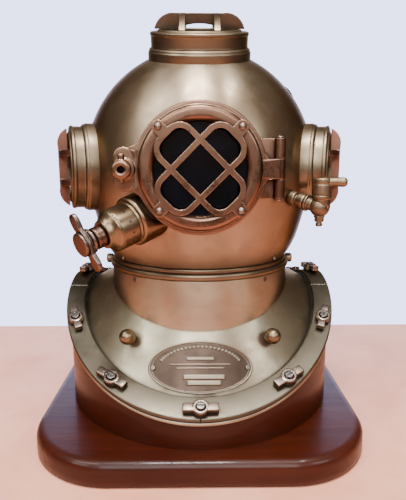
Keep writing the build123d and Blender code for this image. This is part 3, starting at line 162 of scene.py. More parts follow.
def quarter_turns(steps):
    """Angles of four quarter turns, each with both its ends, and the signs of X and Y in each quarter."""
    quarter = np.repeat(np.arange(4), steps)
    turn = np.radians(90 * quarter + np.tile(np.linspace(0, 90, steps), 4))
    side_x = np.where((quarter == 0) | (quarter == 3), 1, -1)
    side_y = np.where(quarter < 2, 1, -1)
    return turn, side_x, side_y


def between_poles(rows, low, high):
    """Rows of a grid with one more row at each end, whose points all lie on the Z axis and close it."""
    poles = [np.broadcast_to([0, 0, height], rows[:1].shape) for height in (low, high)]
    return np.concatenate([poles[0], rows, poles[1]])


def rounded_block(half_size, radius, centre, place, steps=4):
    """Block with rounded edges: a small ball's surface, its eight parts moved to the corners of the block."""
    lon, side_x, side_y = quarter_turns(steps)
    lat = np.radians(np.concatenate([np.linspace(-90, 0, steps), np.linspace(0, 90, steps)]))[:, None]
    side_z = np.repeat([-1, 1], steps)[:, None]
    half = np.asarray(half_size, float) - radius
    x = side_x * half[0] + radius * np.cos(lat) * np.cos(lon)
    y = side_y * half[1] + radius * np.cos(lat) * np.sin(lon)
    z = np.broadcast_to(side_z * half[2] + radius * np.sin(lat), x.shape)
    grid = between_poles(np.stack([x, y, z], axis=-1), -half_size[2], half_size[2])
    return moved(grid + np.asarray(centre, float), place), False, True


def swept(path, radius):
    """Tube along a path: circles of one radius, each square to the path at its point."""
    path = np.asarray(path, float)
    along = unit(np.gradient(path, axis=0))
    aside = unit(np.cross(path[-1] - path[0], [0.31, 0.9, 0.2]))
    side = unit(np.cross(along, np.broadcast_to(aside, along.shape)))
    up = np.cross(along, side)
    turn = around(48)[None, :, None]
    return path[:, None] + radius * (side[:, None] * np.cos(turn) + up[:, None] * np.sin(turn))


def roof_line(azimuth, radius, lift, apex, slope, ridge_y, rounding):
    """Line at a radius whose height is the apex less the slope times the rounded distance from the ridge."""
    distance = np.hypot(ring_point(azimuth, radius, 0)[..., 1] - ridge_y, rounding)
    return ring_point(azimuth, radius, apex - slope * distance + lift)


def crease_line(azimuth, radius, lift=0):
    return roof_line(azimuth, radius, lift, *CREASE_ROOF)


def rim_line(azimuth, radius, lift=0):
    return roof_line(azimuth, radius, lift, *RIM_ROOF)


def band(line, azimuth, inner, outer, low, high, rounding):
    """Four-cornered section carried along a line, its corners rounded."""
    corners = [line(azimuth, r, h) for r, h in ((inner, low), (outer, low), (outer, high), (inner, high))]
    return softened(corners, rounding)


def capped(section):
    """Section carried along a line, with a column at each end that lies on its middle and closes it."""
    middle = section.mean(axis=0, keepdims=True)
    first, last = (np.broadcast_to(end, (len(section), 1, 3)) for end in (middle[:, :1], middle[:, -1:]))
    return np.concatenate([first, section, last], axis=1)


# meshes from arrays

def grid_faces(rows, columns, wrap_rows, wrap_columns, first):
    """Four-sided faces between neighbouring points of a grid."""
    row, column = np.meshgrid(
        np.arange(rows if wrap_rows else rows - 1),
        np.arange(columns if wrap_columns else columns - 1),
        indexing="ij",
    )
    next_row, next_column = (row + 1) % rows, (column + 1) % columns
    corners = ((row, column), (next_row, column), (next_row, next_column), (row, next_column))
    return np.stack([r * columns + c for r, c in corners], axis=-1).reshape(-1, 4) + first


def linked(name, data):
    """New object with its data, in the scene."""
    thing = bpy.data.objects.new(name, data)
    bpy.context.scene.collection.objects.link(thing)
    return thing


def dress(piece, body, finish, replaced):
    """Ride a piece on its body, give it its finish and hide the CAD nodes that it stands for."""
    piece.data.materials.clear()
    piece.data.materials.append(finish)
    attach(piece, body)
    if replaced:
        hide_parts(*replaced)
    return piece


def tidy_mesh(mesh, angle):
    """Merge seams and poles, turn the faces outwards, and shade smooth except across sharp edges."""
    work = bmesh.new()
    work.from_mesh(mesh)
    bmesh.ops.remove_doubles(work, verts=work.verts, dist=2e-6)
    bmesh.ops.dissolve_degenerate(work, edges=work.edges, dist=1e-6)
    bmesh.ops.recalc_face_normals(work, faces=work.faces)
    work.to_mesh(mesh)
    work.free()
    mesh.shade_smooth()
    mesh.set_sharp_from_angle(angle=math.radians(angle))


def build(name, grids, body, finish, replaced=(), angle=40, raised=None):
    """One piece from several grids, each given as (points, rows wrap, columns wrap).

    The array raised says of each point how far it stands out, for the finish.
    """
    points, faces, first = [], [], 0
    for grid, wrap_rows, wrap_columns in grids:
        rows, columns = grid.shape[:2]
        points.append(grid.reshape(-1, 3))
        faces.append(grid_faces(rows, columns, wrap_rows, wrap_columns, first))
        first += rows * columns
    mesh = bpy.data.meshes.new(name)
    mesh.from_pydata((np.concatenate(points) * METRE).tolist(), [], np.concatenate(faces).tolist())
    if raised is not None:
        heights = mesh.attributes.new("raised", "FLOAT", "POINT").data
        heights.foreach_set("value", raised.ravel().astype(np.float32))
    tidy_mesh(mesh, angle)
    return dress(linked(name, mesh), body, finish, replaced)


def eased_copy(node, body, finish, easing, segments=2):
    """Merged copy of a CAD node with its flat faces joined and its sharp edges rounded a little."""
    mesh = nodes[node].data.copy()
    work = bmesh.new()
    work.from_mesh(mesh)
    bmesh.ops.remove_doubles(work, verts=work.verts, dist=2e-6)
    bmesh.ops.dissolve_limit(work, angle_limit=math.radians(0.4), verts=work.verts, edges=work.edges)
    work.to_mesh(mesh)
    work.free()
    mesh.shade_smooth()
    mesh.set_sharp_from_angle(angle=math.radians(SHARP))
    piece = linked(node + "_eased", mesh)
    if easing:
        bevel = piece.modifiers.new("eased_edges", "BEVEL")
        bevel.width = easing * METRE
        bevel.segments = segments
        bevel.limit_method = "ANGLE"
        bevel.angle_limit = math.radians(SHARP)
        bevel.harden_normals = False
    return dress(piece, body, finish, (node,))


# finishes

def node_adder(tree):
    """Function that adds a node to a tree, with its sockets linked or set, and its settings given by name."""
    def add(kind, sockets=None, **settings):
        node = tree.nodes.new(kind)
        for key, value in settings.items():
            setattr(node, key, value)
        for key, value in (sockets or {}).items():
            if isinstance(value, bpy.types.NodeSocket):
                tree.links.new(value, node.inputs[key])
            else:
                node.inputs[key].default_value = value
        return node

    return add


def new_finish(name, **fixed):
    """Material with some of its shader's values, ways to add nodes and join them to it, and coordinates."""
    material = bpy.data.materials.new(name)
    material.use_nodes = True
    shader = material.node_tree.nodes["Principled BSDF"]
    for socket, value in fixed.items():
        shader.inputs[socket.replace("_", " ")].default_value = value
    add = node_adder(material.node_tree)

    def join(**sources):
        for socket, source in sources.items():
            material.node_tree.links.new(source, shader.inputs[socket.replace("_", " ")])

    return material, add, join, add("ShaderNodeTexCoord").outputs["Object"]


def noise(add, where, scale, detail=3, rough=0.55, distortion=0):
    sockets = {"Vector": where, "Scale": scale, "Detail": detail, "Roughness": rough}
    return add("ShaderNodeTexNoise", {**sockets, "Distortion": distortion}).outputs["Fac"]


def remap(add, value, low, high, to_low=0, to_high=1):
    sockets = {"Value": value, "From Min": low, "From Max": high, "To Min": to_low, "To Max": to_high}
    return add("ShaderNodeMapRange", sockets).outputs["Result"]


def blend_colour(add, share, first, second):
    """Colour that runs from the first to the second as the share runs from nought to one."""
    sockets = {0: share}
    for key, colour in ((6, first), (7, second)):
        sockets[key] = colour if isinstance(colour, bpy.types.NodeSocket) else (*colour[:3], 1)
    return add("ShaderNodeMix", sockets, data_type="RGBA").outputs[2]


def times(add, first, second):
    return add("ShaderNodeMath", {0: first, 1: second}, operation="MULTIPLY").outputs[0]


def plus(add, first, second):
    return add("ShaderNodeMath", {0: first, 1: second}, operation="ADD").outputs[0]


def bump(add, height, distance, strength, normal=None, invert=False):
    sockets = {"Height": height, "Distance": distance, "Strength": strength}
    if normal is not None:
        sockets["Normal"] = normal
    return add("ShaderNodeBump", sockets, invert=invert).outputs["Normal"]


def dot(add, first, second):
    return add("ShaderNodeVectorMath", {0: first, 1: second}, operation="DOT_PRODUCT").outputs["Value"]


def edges(add, radius):
    """Normal that is rounded at edges, and its dot product with the flat one, which falls below one there."""
    rounded = add("ShaderNodeBevel", {"Radius": radius}, samples=6).outputs["Normal"]
    return rounded, dot(add, rounded, add("ShaderNodeNewGeometry").outputs["Normal"])


def aged_metal(
    name, light, deep, tarnish, rubbed, rough, waves, grain, tarnish_share, spun=False, relief=False,
):
    """Old brass: patches of two tones, tarnish in specks, tarnish and painted shade darkening hollows, rubbed
    edges, fine pits, a wavy sheet.

    A spun metal stretches its highlights along the upright axis. On a relief the raised parts are rubbed.
    """
    fixed = {"Metallic": 1, "Specular_Tint": (0.42, 0.33, 0.26, 1), "Anisotropic": 0.6 if spun else 0}
    material, add, join, where = new_finish(name, **fixed)
    broad = noise(add, where, 9, 4, 0.55, 0.6)
    cloudy = noise(add, where, 38, 6, 0.62, 0.4)
    specks = noise(add, where, 420, 4, 0.7)
    fine = noise(add, where, 1500, 2, 0.5)
    colour = blend_colour(add, remap(add, broad, 0.35, 0.65), light, deep)
    stain = times(add, remap(add, cloudy, 0.45, 0.75), tarnish_share)
    colour = blend_colour(add, stain, colour, tarnish)
    if relief:
        stands_out = add("ShaderNodeAttribute", attribute_name="raised").outputs["Fac"]
        colour = blend_colour(add, times(add, stands_out, 0.85), colour, rubbed)
    speck_share = times(add, remap(add, specks, 0.66, 0.82), tarnish_share * 0.3)
    colour = blend_colour(add, speck_share, colour, tarnish)
    # hollows, joints and holes darken by ambient occlusion: partly tarnish, partly painted shade
    hollow = add("ShaderNodeAmbientOcclusion", {"Distance": 0.012}, samples=12).outputs["AO"]
    grime_and_painted_shade = times(add, remap(add, hollow, 0.25, 0.85, 1, 0), remap(add, cloudy, 0.25, 0.65, 0.55, 1))
    colour = blend_colour(add, times(add, grime_and_painted_shade, 0.85), colour, [part * 0.28 for part in tarnish])
    rounded, facing = edges(add, 0.0009)
    edge = times(add, remap(add, facing, 0.999, 0.93), remap(add, cloudy, 0.3, 0.6, 0.35, 1))
    colour = blend_colour(add, times(add, edge, 0.6), colour, rubbed)
    rough = plus(add, remap(add, cloudy, 0.3, 0.75, rough - 0.06, rough + 0.12), times(add, grime_and_painted_shade, 0.22))
    rough = plus(add, rough, times(add, edge, -0.1))
    rough = plus(add, rough, remap(add, specks, 0.3, 0.7, -0.03, 0.05))
    if spun:
        upright = add("ShaderNodeCombineXYZ", {"Z": 1}).outputs["Vector"]
        settings = {"vector_type": "VECTOR", "convert_from": "OBJECT", "convert_to": "WORLD"}
        join(Tangent=add("ShaderNodeVectorTransform", {"Vector": upright}, **settings).outputs["Vector"])
    sheet = bump(add, noise(add, where, 22, 2, 0.45, 0.2), 0.004 * waves, 0.35, rounded)
    pitted = plus(add, specks, times(add, fine, 0.4))
    join(Base_Color=colour, Roughness=rough, Normal=bump(add, pitted, 0.0004, 0.06 * grain, sheet))
    return material


def varnished_wood(name, stretch):
    """Dark red-brown wood: long grain bands and pores under a gloss varnish, worn thin on the edges."""
    fixed = {"Coat_Weight": 0.14, "Coat_Roughness": 0.1, "Specular_IOR_Level": 0.16}
    material, add, join, where = new_finish(name, **fixed)
    long_way = add("ShaderNodeMapping", {"Vector": where, "Scale": stretch}).outputs["Vector"]
    bands = noise(add, long_way, 5, 6, 0.62, 1.6)
    streaks = noise(add, long_way, 26, 5, 0.7, 0.5)
    pores = noise(add, long_way, 120, 3, 0.6)
    blotch = noise(add, where, 7, 3, 0.5)
    colour = blend_colour(add, remap(add, bands, 0.3, 0.7), (0.022, 0.003, 0.001), (0.04, 0.0056, 0.0017))
    colour = blend_colour(add, remap(add, streaks, 0.42, 0.72, 0, 0.45), colour, (0.016, 0.003, 0.0014))
    colour = blend_colour(add, remap(add, blotch, 0.35, 0.7, 0, 0.3), colour, (0.056, 0.0105, 0.0035))
    colour = blend_colour(add, remap(add, pores, 0.62, 0.74, 0, 0.7), colour, (0.015, 0.006, 0.004))
    facing = edges(add, 0.004)[1]
    worn = times(add, remap(add, facing, 0.998, 0.9), remap(add, blotch, 0.3, 0.6))
    colour = blend_colour(add, times(add, worn, 0.35), colour, (0.13, 0.03, 0.01))
    swell = bump(add, bands, 0.001, 0.12, bump(add, pores, 0.0006, 0.25, invert=True))
    join(Base_Color=colour, Roughness=remap(add, streaks, 0.3, 0.8, 0.28, 0.5), Normal=swell)
    return material


def dark_glass(name):
    """Thick dark window glass: black depth, a little dust and a few smears on its gloss."""
    material, add, join, where = new_finish(name, IOR=1.52, Coat_Weight=0.1, Coat_Roughness=0.02)
    dust = noise(add, where, 260, 4, 0.7)
    smear = noise(add, where, 16, 4, 0.6, 1.2)
    colour = blend_colour(add, remap(add, smear, 0.4, 0.75), (0.002, 0.002, 0.004), (0.004, 0.005, 0.012))
    colour = blend_colour(add, remap(add, dust, 0.68, 0.8, 0, 0.35), colour, (0.06, 0.055, 0.05))
    rough = remap(add, smear, 0.35, 0.75, 0.03, 0.14)
    join(Base_Color=colour, Roughness=rough, Normal=bump(add, smear, 0.0006, 0.06))
    return material


def black_rubber(name):
    """Old black rubber: dull, with fine grain and pale bloom in patches."""
    material, add, join, where = new_finish(name)
    bloom = noise(add, where, 40, 5, 0.6)
    colour = blend_colour(add, remap(add, bloom, 0.5, 0.8), (0.008, 0.008, 0.008), (0.045, 0.043, 0.04))
    fine = bump(add, noise(add, where, 1800, 2), 0.0003, 0.3)
    join(Base_Color=colour, Roughness=remap(add, bloom, 0.3, 0.7, 0.55, 0.8), Normal=fine)
    return material


def oiled_leather(name):
    """Brown washer leather: soft mottled tone with a pebbled grain."""
    material, add, join, where = new_finish(name)
    pebbles = add("ShaderNodeTexVoronoi", {"Vector": where, "Scale": 650}).outputs["Distance"]
    mottle = noise(add, where, 55, 5, 0.6)
    colour = blend_colour(add, remap(add, mottle, 0.35, 0.7), (0.055, 0.026, 0.013), (0.12, 0.062, 0.03))
    rough = remap(add, mottle, 0.3, 0.7, 0.45, 0.65)
    join(Base_Color=colour, Roughness=rough, Normal=bump(add, pebbles, 0.0005, 0.4))
    return material


def drawn_steel(name):
    """Plain steel: drawn lines, a grey film and small brown spots."""
    material, add, join, where = new_finish(name, Metallic=1)
    lines = add("ShaderNodeMapping", {"Vector": where, "Scale": (900, 900, 40)}).outputs["Vector"]
    drawn = noise(add, lines, 1, 2)
    spots = noise(add, where, 300, 4, 0.7)
    colour = blend_colour(add, remap(add, drawn, 0.3, 0.7), (0.42, 0.42, 0.43), (0.6, 0.6, 0.6))
    colour = blend_colour(add, remap(add, spots, 0.64, 0.76, 0, 0.7), colour, (0.16, 0.08, 0.04))
    rough = remap(add, drawn, 0.3, 0.7, 0.25, 0.42)
    join(Base_Color=colour, Roughness=rough, Normal=bump(add, drawn, 0.0002, 0.15))
    return material


bonnet_brass = aged_metal(
    "antique_bonnet_brass", (0.34, 0.275, 0.2), (0.26, 0.19, 0.125), (0.13, 0.085, 0.055),
    (0.62, 0.52, 0.38), 0.34, 0.2, 0.5, 0.22, spun=True,
)
ring_brass = aged_metal(
    "antique_ring_brass", (0.225, 0.172, 0.115), (0.155, 0.112, 0.074), (0.07, 0.045, 0.03),
    (0.58, 0.49, 0.36), 0.36, 0.04, 0.5, 0.2,
)
# darker copy of the ring brass for the bonnet's neck ring, which sits in shadow under the bonnet: painted
# shade
ring_brass_painted_shade = aged_metal(
    "ring_brass_darkened_for_painted_shade", (0.21, 0.155, 0.105), (0.14, 0.1, 0.068), (0.06, 0.038, 0.026),
    (0.52, 0.42, 0.3), 0.34, 0.04, 0.6, 0.35,
)
plate_brass = aged_metal(
    "pale_plate_brass", (0.46, 0.42, 0.3), (0.32, 0.245, 0.175), (0.2, 0.13, 0.095),
    (0.72, 0.66, 0.5), 0.36, 0.6, 0.5, 0.35, spun=True,
)
strap_brass = aged_metal(
    "strap_brass", (0.125, 0.108, 0.08), (0.092, 0.077, 0.057), (0.055, 0.041, 0.031),
    (0.62, 0.56, 0.45), 0.36, 0.06, 0.5, 0.15,
)
copper_brass = aged_metal(
    "copper_toned_brass", (0.225, 0.128, 0.084), (0.15, 0.078, 0.054), (0.055, 0.024, 0.024),
    (0.7, 0.49, 0.36), 0.28, 0.05, 0.4, 0.1,
)
guard_copper = aged_metal(
    "red_copper_guard", (0.36, 0.185, 0.13), (0.25, 0.115, 0.08), (0.07, 0.03, 0.025),
    (0.72, 0.44, 0.32), 0.34, 0.06, 0.5, 0.35,
)
guard_brass = aged_metal(
    "brown_guard_brass", (0.2, 0.145, 0.1), (0.14, 0.095, 0.065), (0.06, 0.038, 0.028),
    (0.46, 0.37, 0.28), 0.34, 0.05, 0.5, 0.35,
)
gold_brass = aged_metal(
    "polished_valve_brass", (0.25, 0.175, 0.108), (0.17, 0.115, 0.07), (0.08, 0.048, 0.03),
    (0.66, 0.53, 0.37), 0.3, 0.02, 0.3, 0.25,
)
fitting_brass = aged_metal(
    "worn_fitting_brass", (0.235, 0.185, 0.15), (0.16, 0.12, 0.098), (0.06, 0.038, 0.032),
    (0.7, 0.61, 0.5), 0.3, 0.03, 0.5, 0.3,
)
spit_brass = aged_metal(
    "olive_spitcock_brass", (0.215, 0.155, 0.1), (0.15, 0.105, 0.068), (0.07, 0.045, 0.03),
    (0.46, 0.37, 0.26), 0.42, 0.02, 0.3, 0.2,
)
handle_bronze = aged_metal(
    "handle_bronze", (0.2, 0.145, 0.125), (0.14, 0.098, 0.084), (0.05, 0.03, 0.027),
    (0.58, 0.46, 0.38), 0.33, 0.03, 0.4, 0.3,
)
ball_brass = aged_metal(
    "dull_ball_brass", (0.25, 0.19, 0.12), (0.18, 0.125, 0.08), (0.07, 0.04, 0.028),
    (0.6, 0.5, 0.36), 0.36, 0.03, 1, 0.4,
)
collar_brown = aged_metal(
    "brown_collar_brass", (0.16, 0.095, 0.07), (0.11, 0.062, 0.047), (0.05, 0.025, 0.02),
    (0.5, 0.38, 0.29), 0.34, 0.03, 0.4, 0.3,
)
stud_brass = aged_metal(
    "dark_stud_steel", (0.16, 0.145, 0.14), (0.085, 0.075, 0.072), (0.035, 0.025, 0.022),
    (0.66, 0.62, 0.58), 0.34, 0.05, 1, 0.5,
)
plate_etched = aged_metal(
    "etched_plate_brass", (0.09, 0.062, 0.047), (0.062, 0.042, 0.032), (0.025, 0.016, 0.013),
    (0.24, 0.195, 0.15), 0.4, 0.03, 1.5, 0.5, relief=True,
)
board_wood = varnished_wood("varnished_board_wood", (0.6, 6, 6))
riser_wood = varnished_wood("varnished_riser_wood", (1.2, 1.2, 9))
glass = dark_glass("dark_window_glass")
rubber = black_rubber("black_gasket_rubber")
leather = oiled_leather("oiled_gasket_leather")
steel = drawn_steel("drawn_steel")

STAND, BONNET, DOOR = "stand_and_breastplate", "bonnet", "front_door"


# stand

def make_board():
    """Board: a square with round corners, drawn in by an inset that grows over a round edge to the middle."""
    turn, side_x, side_y = quarter_turns(28)
    edge = np.radians(np.linspace(0, 90, 9))
    inset = np.concatenate([[97.9, 40, 2, 1.4, 0, 0], 10 - 10 * np.cos(edge), [12, 40, 97.9]])[:, None]
    height = np.concatenate([[0, 0, 0, 0.2, 1.6, 9], 18 + 10 * np.sin(edge), [BOARD_TOP] * 3])[:, None]
    straight = BOARD_HALF - BOARD_CORNER_R
    radius = BOARD_CORNER_R - inset
    x = side_x * straight + radius * np.cos(turn)
    y = side_y * straight + radius * np.sin(turn)
    rows = np.stack([x, y, np.broadcast_to(height, x.shape)], axis=-1)
    grid = between_poles(rows, 0, BOARD_TOP)
    build("stand_board", [(grid, False, True)], STAND, board_wood, ("base_board",), 50)


def make_riser():
    """Riser: a wooden ring whose top follows the rim line just under the flange, its edges rubbed round."""
    azimuth = around(240, 360)
    outer, inner, seam, sink = 170, 149, BOARD_TOP + 14, -3.9
    corners = [ring_point(azimuth, outer, BOARD_TOP), ring_point(azimuth, outer, seam)]
    corners += [rim_line(azimuth, outer, sink), rim_line(azimuth, inner, sink)]
    corners += [ring_point(azimuth, inner, seam), ring_point(azimuth, inner, BOARD_TOP)]
    grid = softened(corners, [0.6, 0.1, 1.6, 1.2, 0.1, 0.6])
    build("stand_riser", [(grid, True, True)], STAND, riser_wood, ("base_riser",), 50)


# breastplate and rim

def make_breastplate():
    """Breastplate: neck tube, sloping plate and flange as one bent sheet, with eased creases."""
    azimuth = around(288, 360)
    neck, foot = crease_line(azimuth, NECK_R), rim_line(azimuth, FLANGE_R)
    inner_neck, inner_foot = crease_line(azimuth, NECK_R - 3, -2.2), rim_line(azimuth, FLANGE_R - 2.2, -3.5)
    corners = [
        ring_point(azimuth, NECK_R, NECK_TOP), *[neck * (1 - s) + foot * s for s in (0, 0.33, 0.66, 1)],
        rim_line(azimuth, RIM_R), rim_line(azimuth, RIM_R, -3.5),
        inner_foot, inner_neck, ring_point(azimuth, NECK_R - 3, NECK_TOP),
    ]
    grid = softened(corners, [0.5, 1.6, 8, 8, 1.4, 1.2, 1.2, 2, 2, 0.5])
    build("breastplate_sheet", [(grid, True, True)], STAND, plate_brass, ("breastplate",), 50)


def make_rim():
    """Gasket and four straps over the flange, each a flat section carried along the rim line."""
    gasket = band(rim_line, around(240, 360), 151.1, RIM_R, 0.3, 2.8, 0.4)
    build("rim_gasket_ring", [(gasket, True, True)], STAND, rubber, ("rim_gasket",))
    sides = (("front_left", -90), ("front_right", 0), ("back_right", 90), ("back_left", 180))
    for side, start in sides:
        part = np.linspace(start + 0.3, start + 89.7, 72)
        strap = capped(band(rim_line, part, 152, 175.4, STRAP_LOW, STRAP_TOP, [0.5, 0.8, 1.4, 1.2]))
        name = "brail_" + side
        build(name + "_strap", [(strap, True, False)], STAND, strap_brass, (name,), 45)


def rim_place(azimuth):
    """Place just above the strap at the stud circle, square to the strap."""
    point = rim_line(float(azimuth), STUD_CIRCLE)
    slope, ridge_y, rounding = RIM_ROOF[1:]
    from_ridge = point[1] - ridge_y
    out = unit([0, slope * from_ridge / math.hypot(from_ridge, rounding), 1])
    lift = STRAP_TOP * out[2] + SEAT_GAP
    return place_at(point + out * lift, out, ring_point(azimuth + 90, 1, 0))


def make_wing_nuts():
    """Wing nuts: a crowned boss with two square-ended wings that sit lower than its top."""
    boss = [(4.65, 0), (8.6, 0), (9.1, 1), (9.1, 7.4), (8, 8.6), (5.6, 8.6), (5, 7.8), (4.65, 6.9)]
    grids = []
    for azimuth in STUD_AZIMUTHS:
        place = rim_place(azimuth)
        grids.append(lathed(boss, 0.6, place, 40))
        for side in (-1, 1):
            grids.append(rounded_block((5.9, 4.6, 3.6), 0.9, (side * 13.2, 0, 4.6), place))
    build("brail_wing_nut_set", grids, STAND, fitting_brass, ("brail_wing_nuts",), 40)


def plate_place(azimuth, height):
    """Place on the sloping plate at an azimuth and a height: Z leaves it and Y runs up it."""
    top, low = crease_line(float(azimuth), NECK_R), rim_line(float(azimuth), FLANGE_R)
    share = (top[2] - height) / (top[2] - low[2])
    side = crease_line(azimuth + 1, NECK_R) - crease_line(azimuth - 1, NECK_R)
    low_side = rim_line(azimuth + 1, FLANGE_R) - rim_line(azimuth - 1, FLANGE_R)
    along = unit(side + (low_side - side) * share)
    return place_at(top + (low - top) * share, np.cross(along, top - low), along)


def make_lanyard_studs():
    """Lanyard studs: a ball on a waisted neck over a small foot."""
    foot = softened([(0, 0.2), (5.4, 0.2), (5.4, 1.2), (4.1, 2), (3.9, 3.4)], 0.5, closed=False)
    outline = np.concatenate([foot, arc(9.2, 11, -62, 90, 22)])
    grids = [(turned(outline, plate_place(azimuth, 127), 56), False, True) for azimuth in (-38, 38)]
    build("lanyard_stud_pair", grids, STAND, ball_brass, ("lanyard_studs",), 50)


def make_neck_ring():
    """Neck ring: one rounded band, a bayonet flange inside it, and two side lugs."""
    outline = [
        (104, 198.8), (108.2, 198.8), (108.2, 186.8), (111.2, 186.8), (111.2, 198.8), (115.6, 198.8),
        (116.8, 200.2), (117.3, 202.6), (116.8, 205), (115.6, 206.5), (112.5, 206.5), (112.5, 203.7),
        (106.1, 203.7), (106.1, 203), (104, 203),
    ]
    grids = [lathed(outline, 0.9)]
    lug = [(0, 0), (6.2, 0), (6.2, 6.2), (5.2, 8), (0, 8.5)]
    for azimuth in (-90, 90):
        start = ring_point(azimuth, 115.8, 202.6)
        place = place_at(start, ring_point(azimuth, 1, 0), ring_point(azimuth + 90, 1, 0))
        grids.append(lathed(lug, 0.9, place, 40))
    build("neck_ring_beaded", grids, STAND, ring_brass, ("neck_ring",), 45)


def step(value, width=0.35):
    """Smooth step from nought to one where a value passes nought."""
    return 1 / (1 + np.exp(-np.clip(value / width * 3, -40, 40)))


def make_name_plate():
    """Name plate: an oval over the sloping plate. A ring of the grid is a share of the oval, and its height
    above the plate rises over a border, sinks to the field, and rises again on plain bars and beads."""
    half_width, half_height, plate_bend, field = 58, 28.3, 132, 2.5
    share = np.concatenate([np.linspace(0, 0.9, 70), np.linspace(0.905, 1, 20)])[:, None]
    turn = around(300)[None, :]
    x = half_width * share * np.cos(turn)
    y = half_height * share * np.sin(turn)
    border = step(share - 0.962, 0.012)
    inner_line = step(share - 0.925, 0.006) * step(0.935 - share, 0.006)
    bars = 0
    for middle, half in ((-10.2, 22.5), (-16.6, 18.36)):
        bars = bars + step(half - np.abs(x - 4)) * step(2.3 - np.abs(y - middle))
    beads = 0
    for angle in np.radians(np.linspace(22, 158, 24)):
        gap = np.hypot(x - half_width * 0.8 * np.cos(angle), y - half_height * 0.8 * np.sin(angle))
        beads = beads + step(1.35 - gap)
    rules = 0
    for half, thick, middle in ((15, 1.5, 9.6), (33, 0.55, 3.4), (26, 0.55, -0.6)):
        rules = rules + step(half - np.abs(x)) * step(thick - np.abs(y - middle))
    height = field + 1 * border + 0.45 * inner_line + 0.75 * bars
    height = height + 0.5 * np.clip(beads, 0, 1) + 0.45 * np.clip(rules, 0, 1)
    height = np.where(share > 0.985, height - (share - 0.985) * 60, height)
    origin, axes = plate_place(0, 105)
    azimuth = np.degrees(np.arcsin(np.clip(x / plate_bend, -1, 1)))
    for _ in range(12):
        top, low = crease_line(azimuth, NECK_R), rim_line(azimuth, FLANGE_R)
        along = low - top
        level = (origin - top) @ axes[:, 1] + y
        cut = level / (along @ axes[:, 1])
        point = top + along * cut[..., None]
        azimuth = azimuth + np.degrees((x - (point - origin) @ axes[:, 0]) / plate_bend)
    side = unit(crease_line(azimuth + 0.5, NECK_R) - crease_line(azimuth - 0.5, NECK_R))
    out = unit(np.cross(side, -along))
    face = point + out * height[..., None]
    back = (point + out * SEAT_GAP)[::-6]
    rows = np.concatenate([face, back, point[:1] + out[:1] * SEAT_GAP])
    relief = np.zeros(rows.shape[:2])
    relief[:len(face)] = np.clip((height - field) / 0.5, 0, 1)
    grids = [(rows, False, True)]
    build("name_plate_blank", grids, STAND, plate_etched, ("name_plate",), 60, relief)


# bonnet

def bonnet_outline():
    """Bonnet's outside as (radius, height): a ball to just under its middle, then two arcs that run on."""
    end = 12.5
    upper = arc(BONNET_R, BONNET_Z, 90, -end, 150)
    low = math.radians(end)
    flank = tangent_arc(upper[-1], (-math.sin(low), -math.cos(low)), (127.5, 243), 40)
    foot = tangent_arc(flank[-1], unit(flank[-1] - flank[-2]), (111.5, 212), 30)
    return np.concatenate([upper, flank[1:], foot[1:]])


def tangent_arc(start, heading, end, steps):
    """Arc from start to end that leaves along a heading. It turns by twice the angle to the chord."""
    start, end = np.asarray(start, float), np.asarray(end, float)
    chord = end - start
    heading = unit(heading)
    bend = math.atan2(heading[0] * chord[1] - heading[1] * chord[0], heading @ chord)
    radius = np.linalg.norm(chord) / (2 * math.sin(bend))
    turn = np.linspace(0, 2 * bend, steps)[:, None]
    left = np.array([-heading[1], heading[0]])
    return start + heading * (radius * np.sin(turn)) + left * (radius * (1 - np.cos(turn)))


def bonnet_place(azimuth, rise):
    """Place whose Z runs from the bonnet's middle towards an azimuth and a rise."""
    out = ring_point(azimuth, math.cos(math.radians(rise)), math.sin(math.radians(rise)))
    return place_at((0, 0, BONNET_Z), out, ring_point(azimuth + 90, 1, 0))


LEFT_LIGHT, RIGHT_LIGHT = bonnet_place(-72, 0), bonnet_place(72, 0)
TOP_LIGHT, FRONT_LIGHT = bonnet_place(0, 74), bonnet_place(0, 0)
LIGHT_HOLES = ((LEFT_LIGHT, 45.8), (RIGHT_LIGHT, 45.8), (TOP_LIGHT, 52.8), (FRONT_LIGHT, 50.8))


def make_bonnet():
    """Bonnet sheet: the outline turned about Z. Points inside a light's hole are drawn out to its circle, and
    faces with all their points inside it are left out, so the hole's edge is round."""
    grid = turned(bonnet_outline(), UPRIGHT, 288)
    points = grid.reshape(-1, 3).copy()
    inside_any = np.zeros(len(points), bool)
    for (origin, axes), radius in LIGHT_HOLES:
        local = (points - origin) @ axes
        reach = np.hypot(local[:, 0], local[:, 1])
        inside = (reach < radius) & (local[:, 2] > 0)
        on_edge = local * (radius / np.maximum(reach, 1e-6))[:, None]
        on_edge[:, 2] = math.sqrt(BONNET_R ** 2 - radius ** 2)
        points = np.where(inside[:, None], on_edge @ axes.T + origin, points)
        inside_any |= inside
    faces = grid_faces(*grid.shape[:2], False, True, 0)
    faces = faces[~inside_any[faces].all(axis=1)]
    mesh = bpy.data.meshes.new("bonnet_sheet")
    mesh.from_pydata((points * METRE).tolist(), [], faces.tolist())
    tidy_mesh(mesh, 60)
    work = bmesh.new()
    work.from_mesh(mesh)
    bmesh.ops.delete(work, geom=[v for v in work.verts if not v.link_faces], context="VERTS")
    if sum(f.normal.dot(f.calc_center_median()) for f in work.faces) < 0:
        bmesh.ops.reverse_faces(work, faces=work.faces)
    work.to_mesh(mesh)
    work.free()
    piece = linked("bonnet_sheet", mesh)
    wall = piece.modifiers.new("sheet_thickness", "SOLIDIFY")
    wall.thickness = 3 * METRE
    wall.offset = -1
    dress(piece, BONNET, bonnet_brass, ("bonnet_shell",))


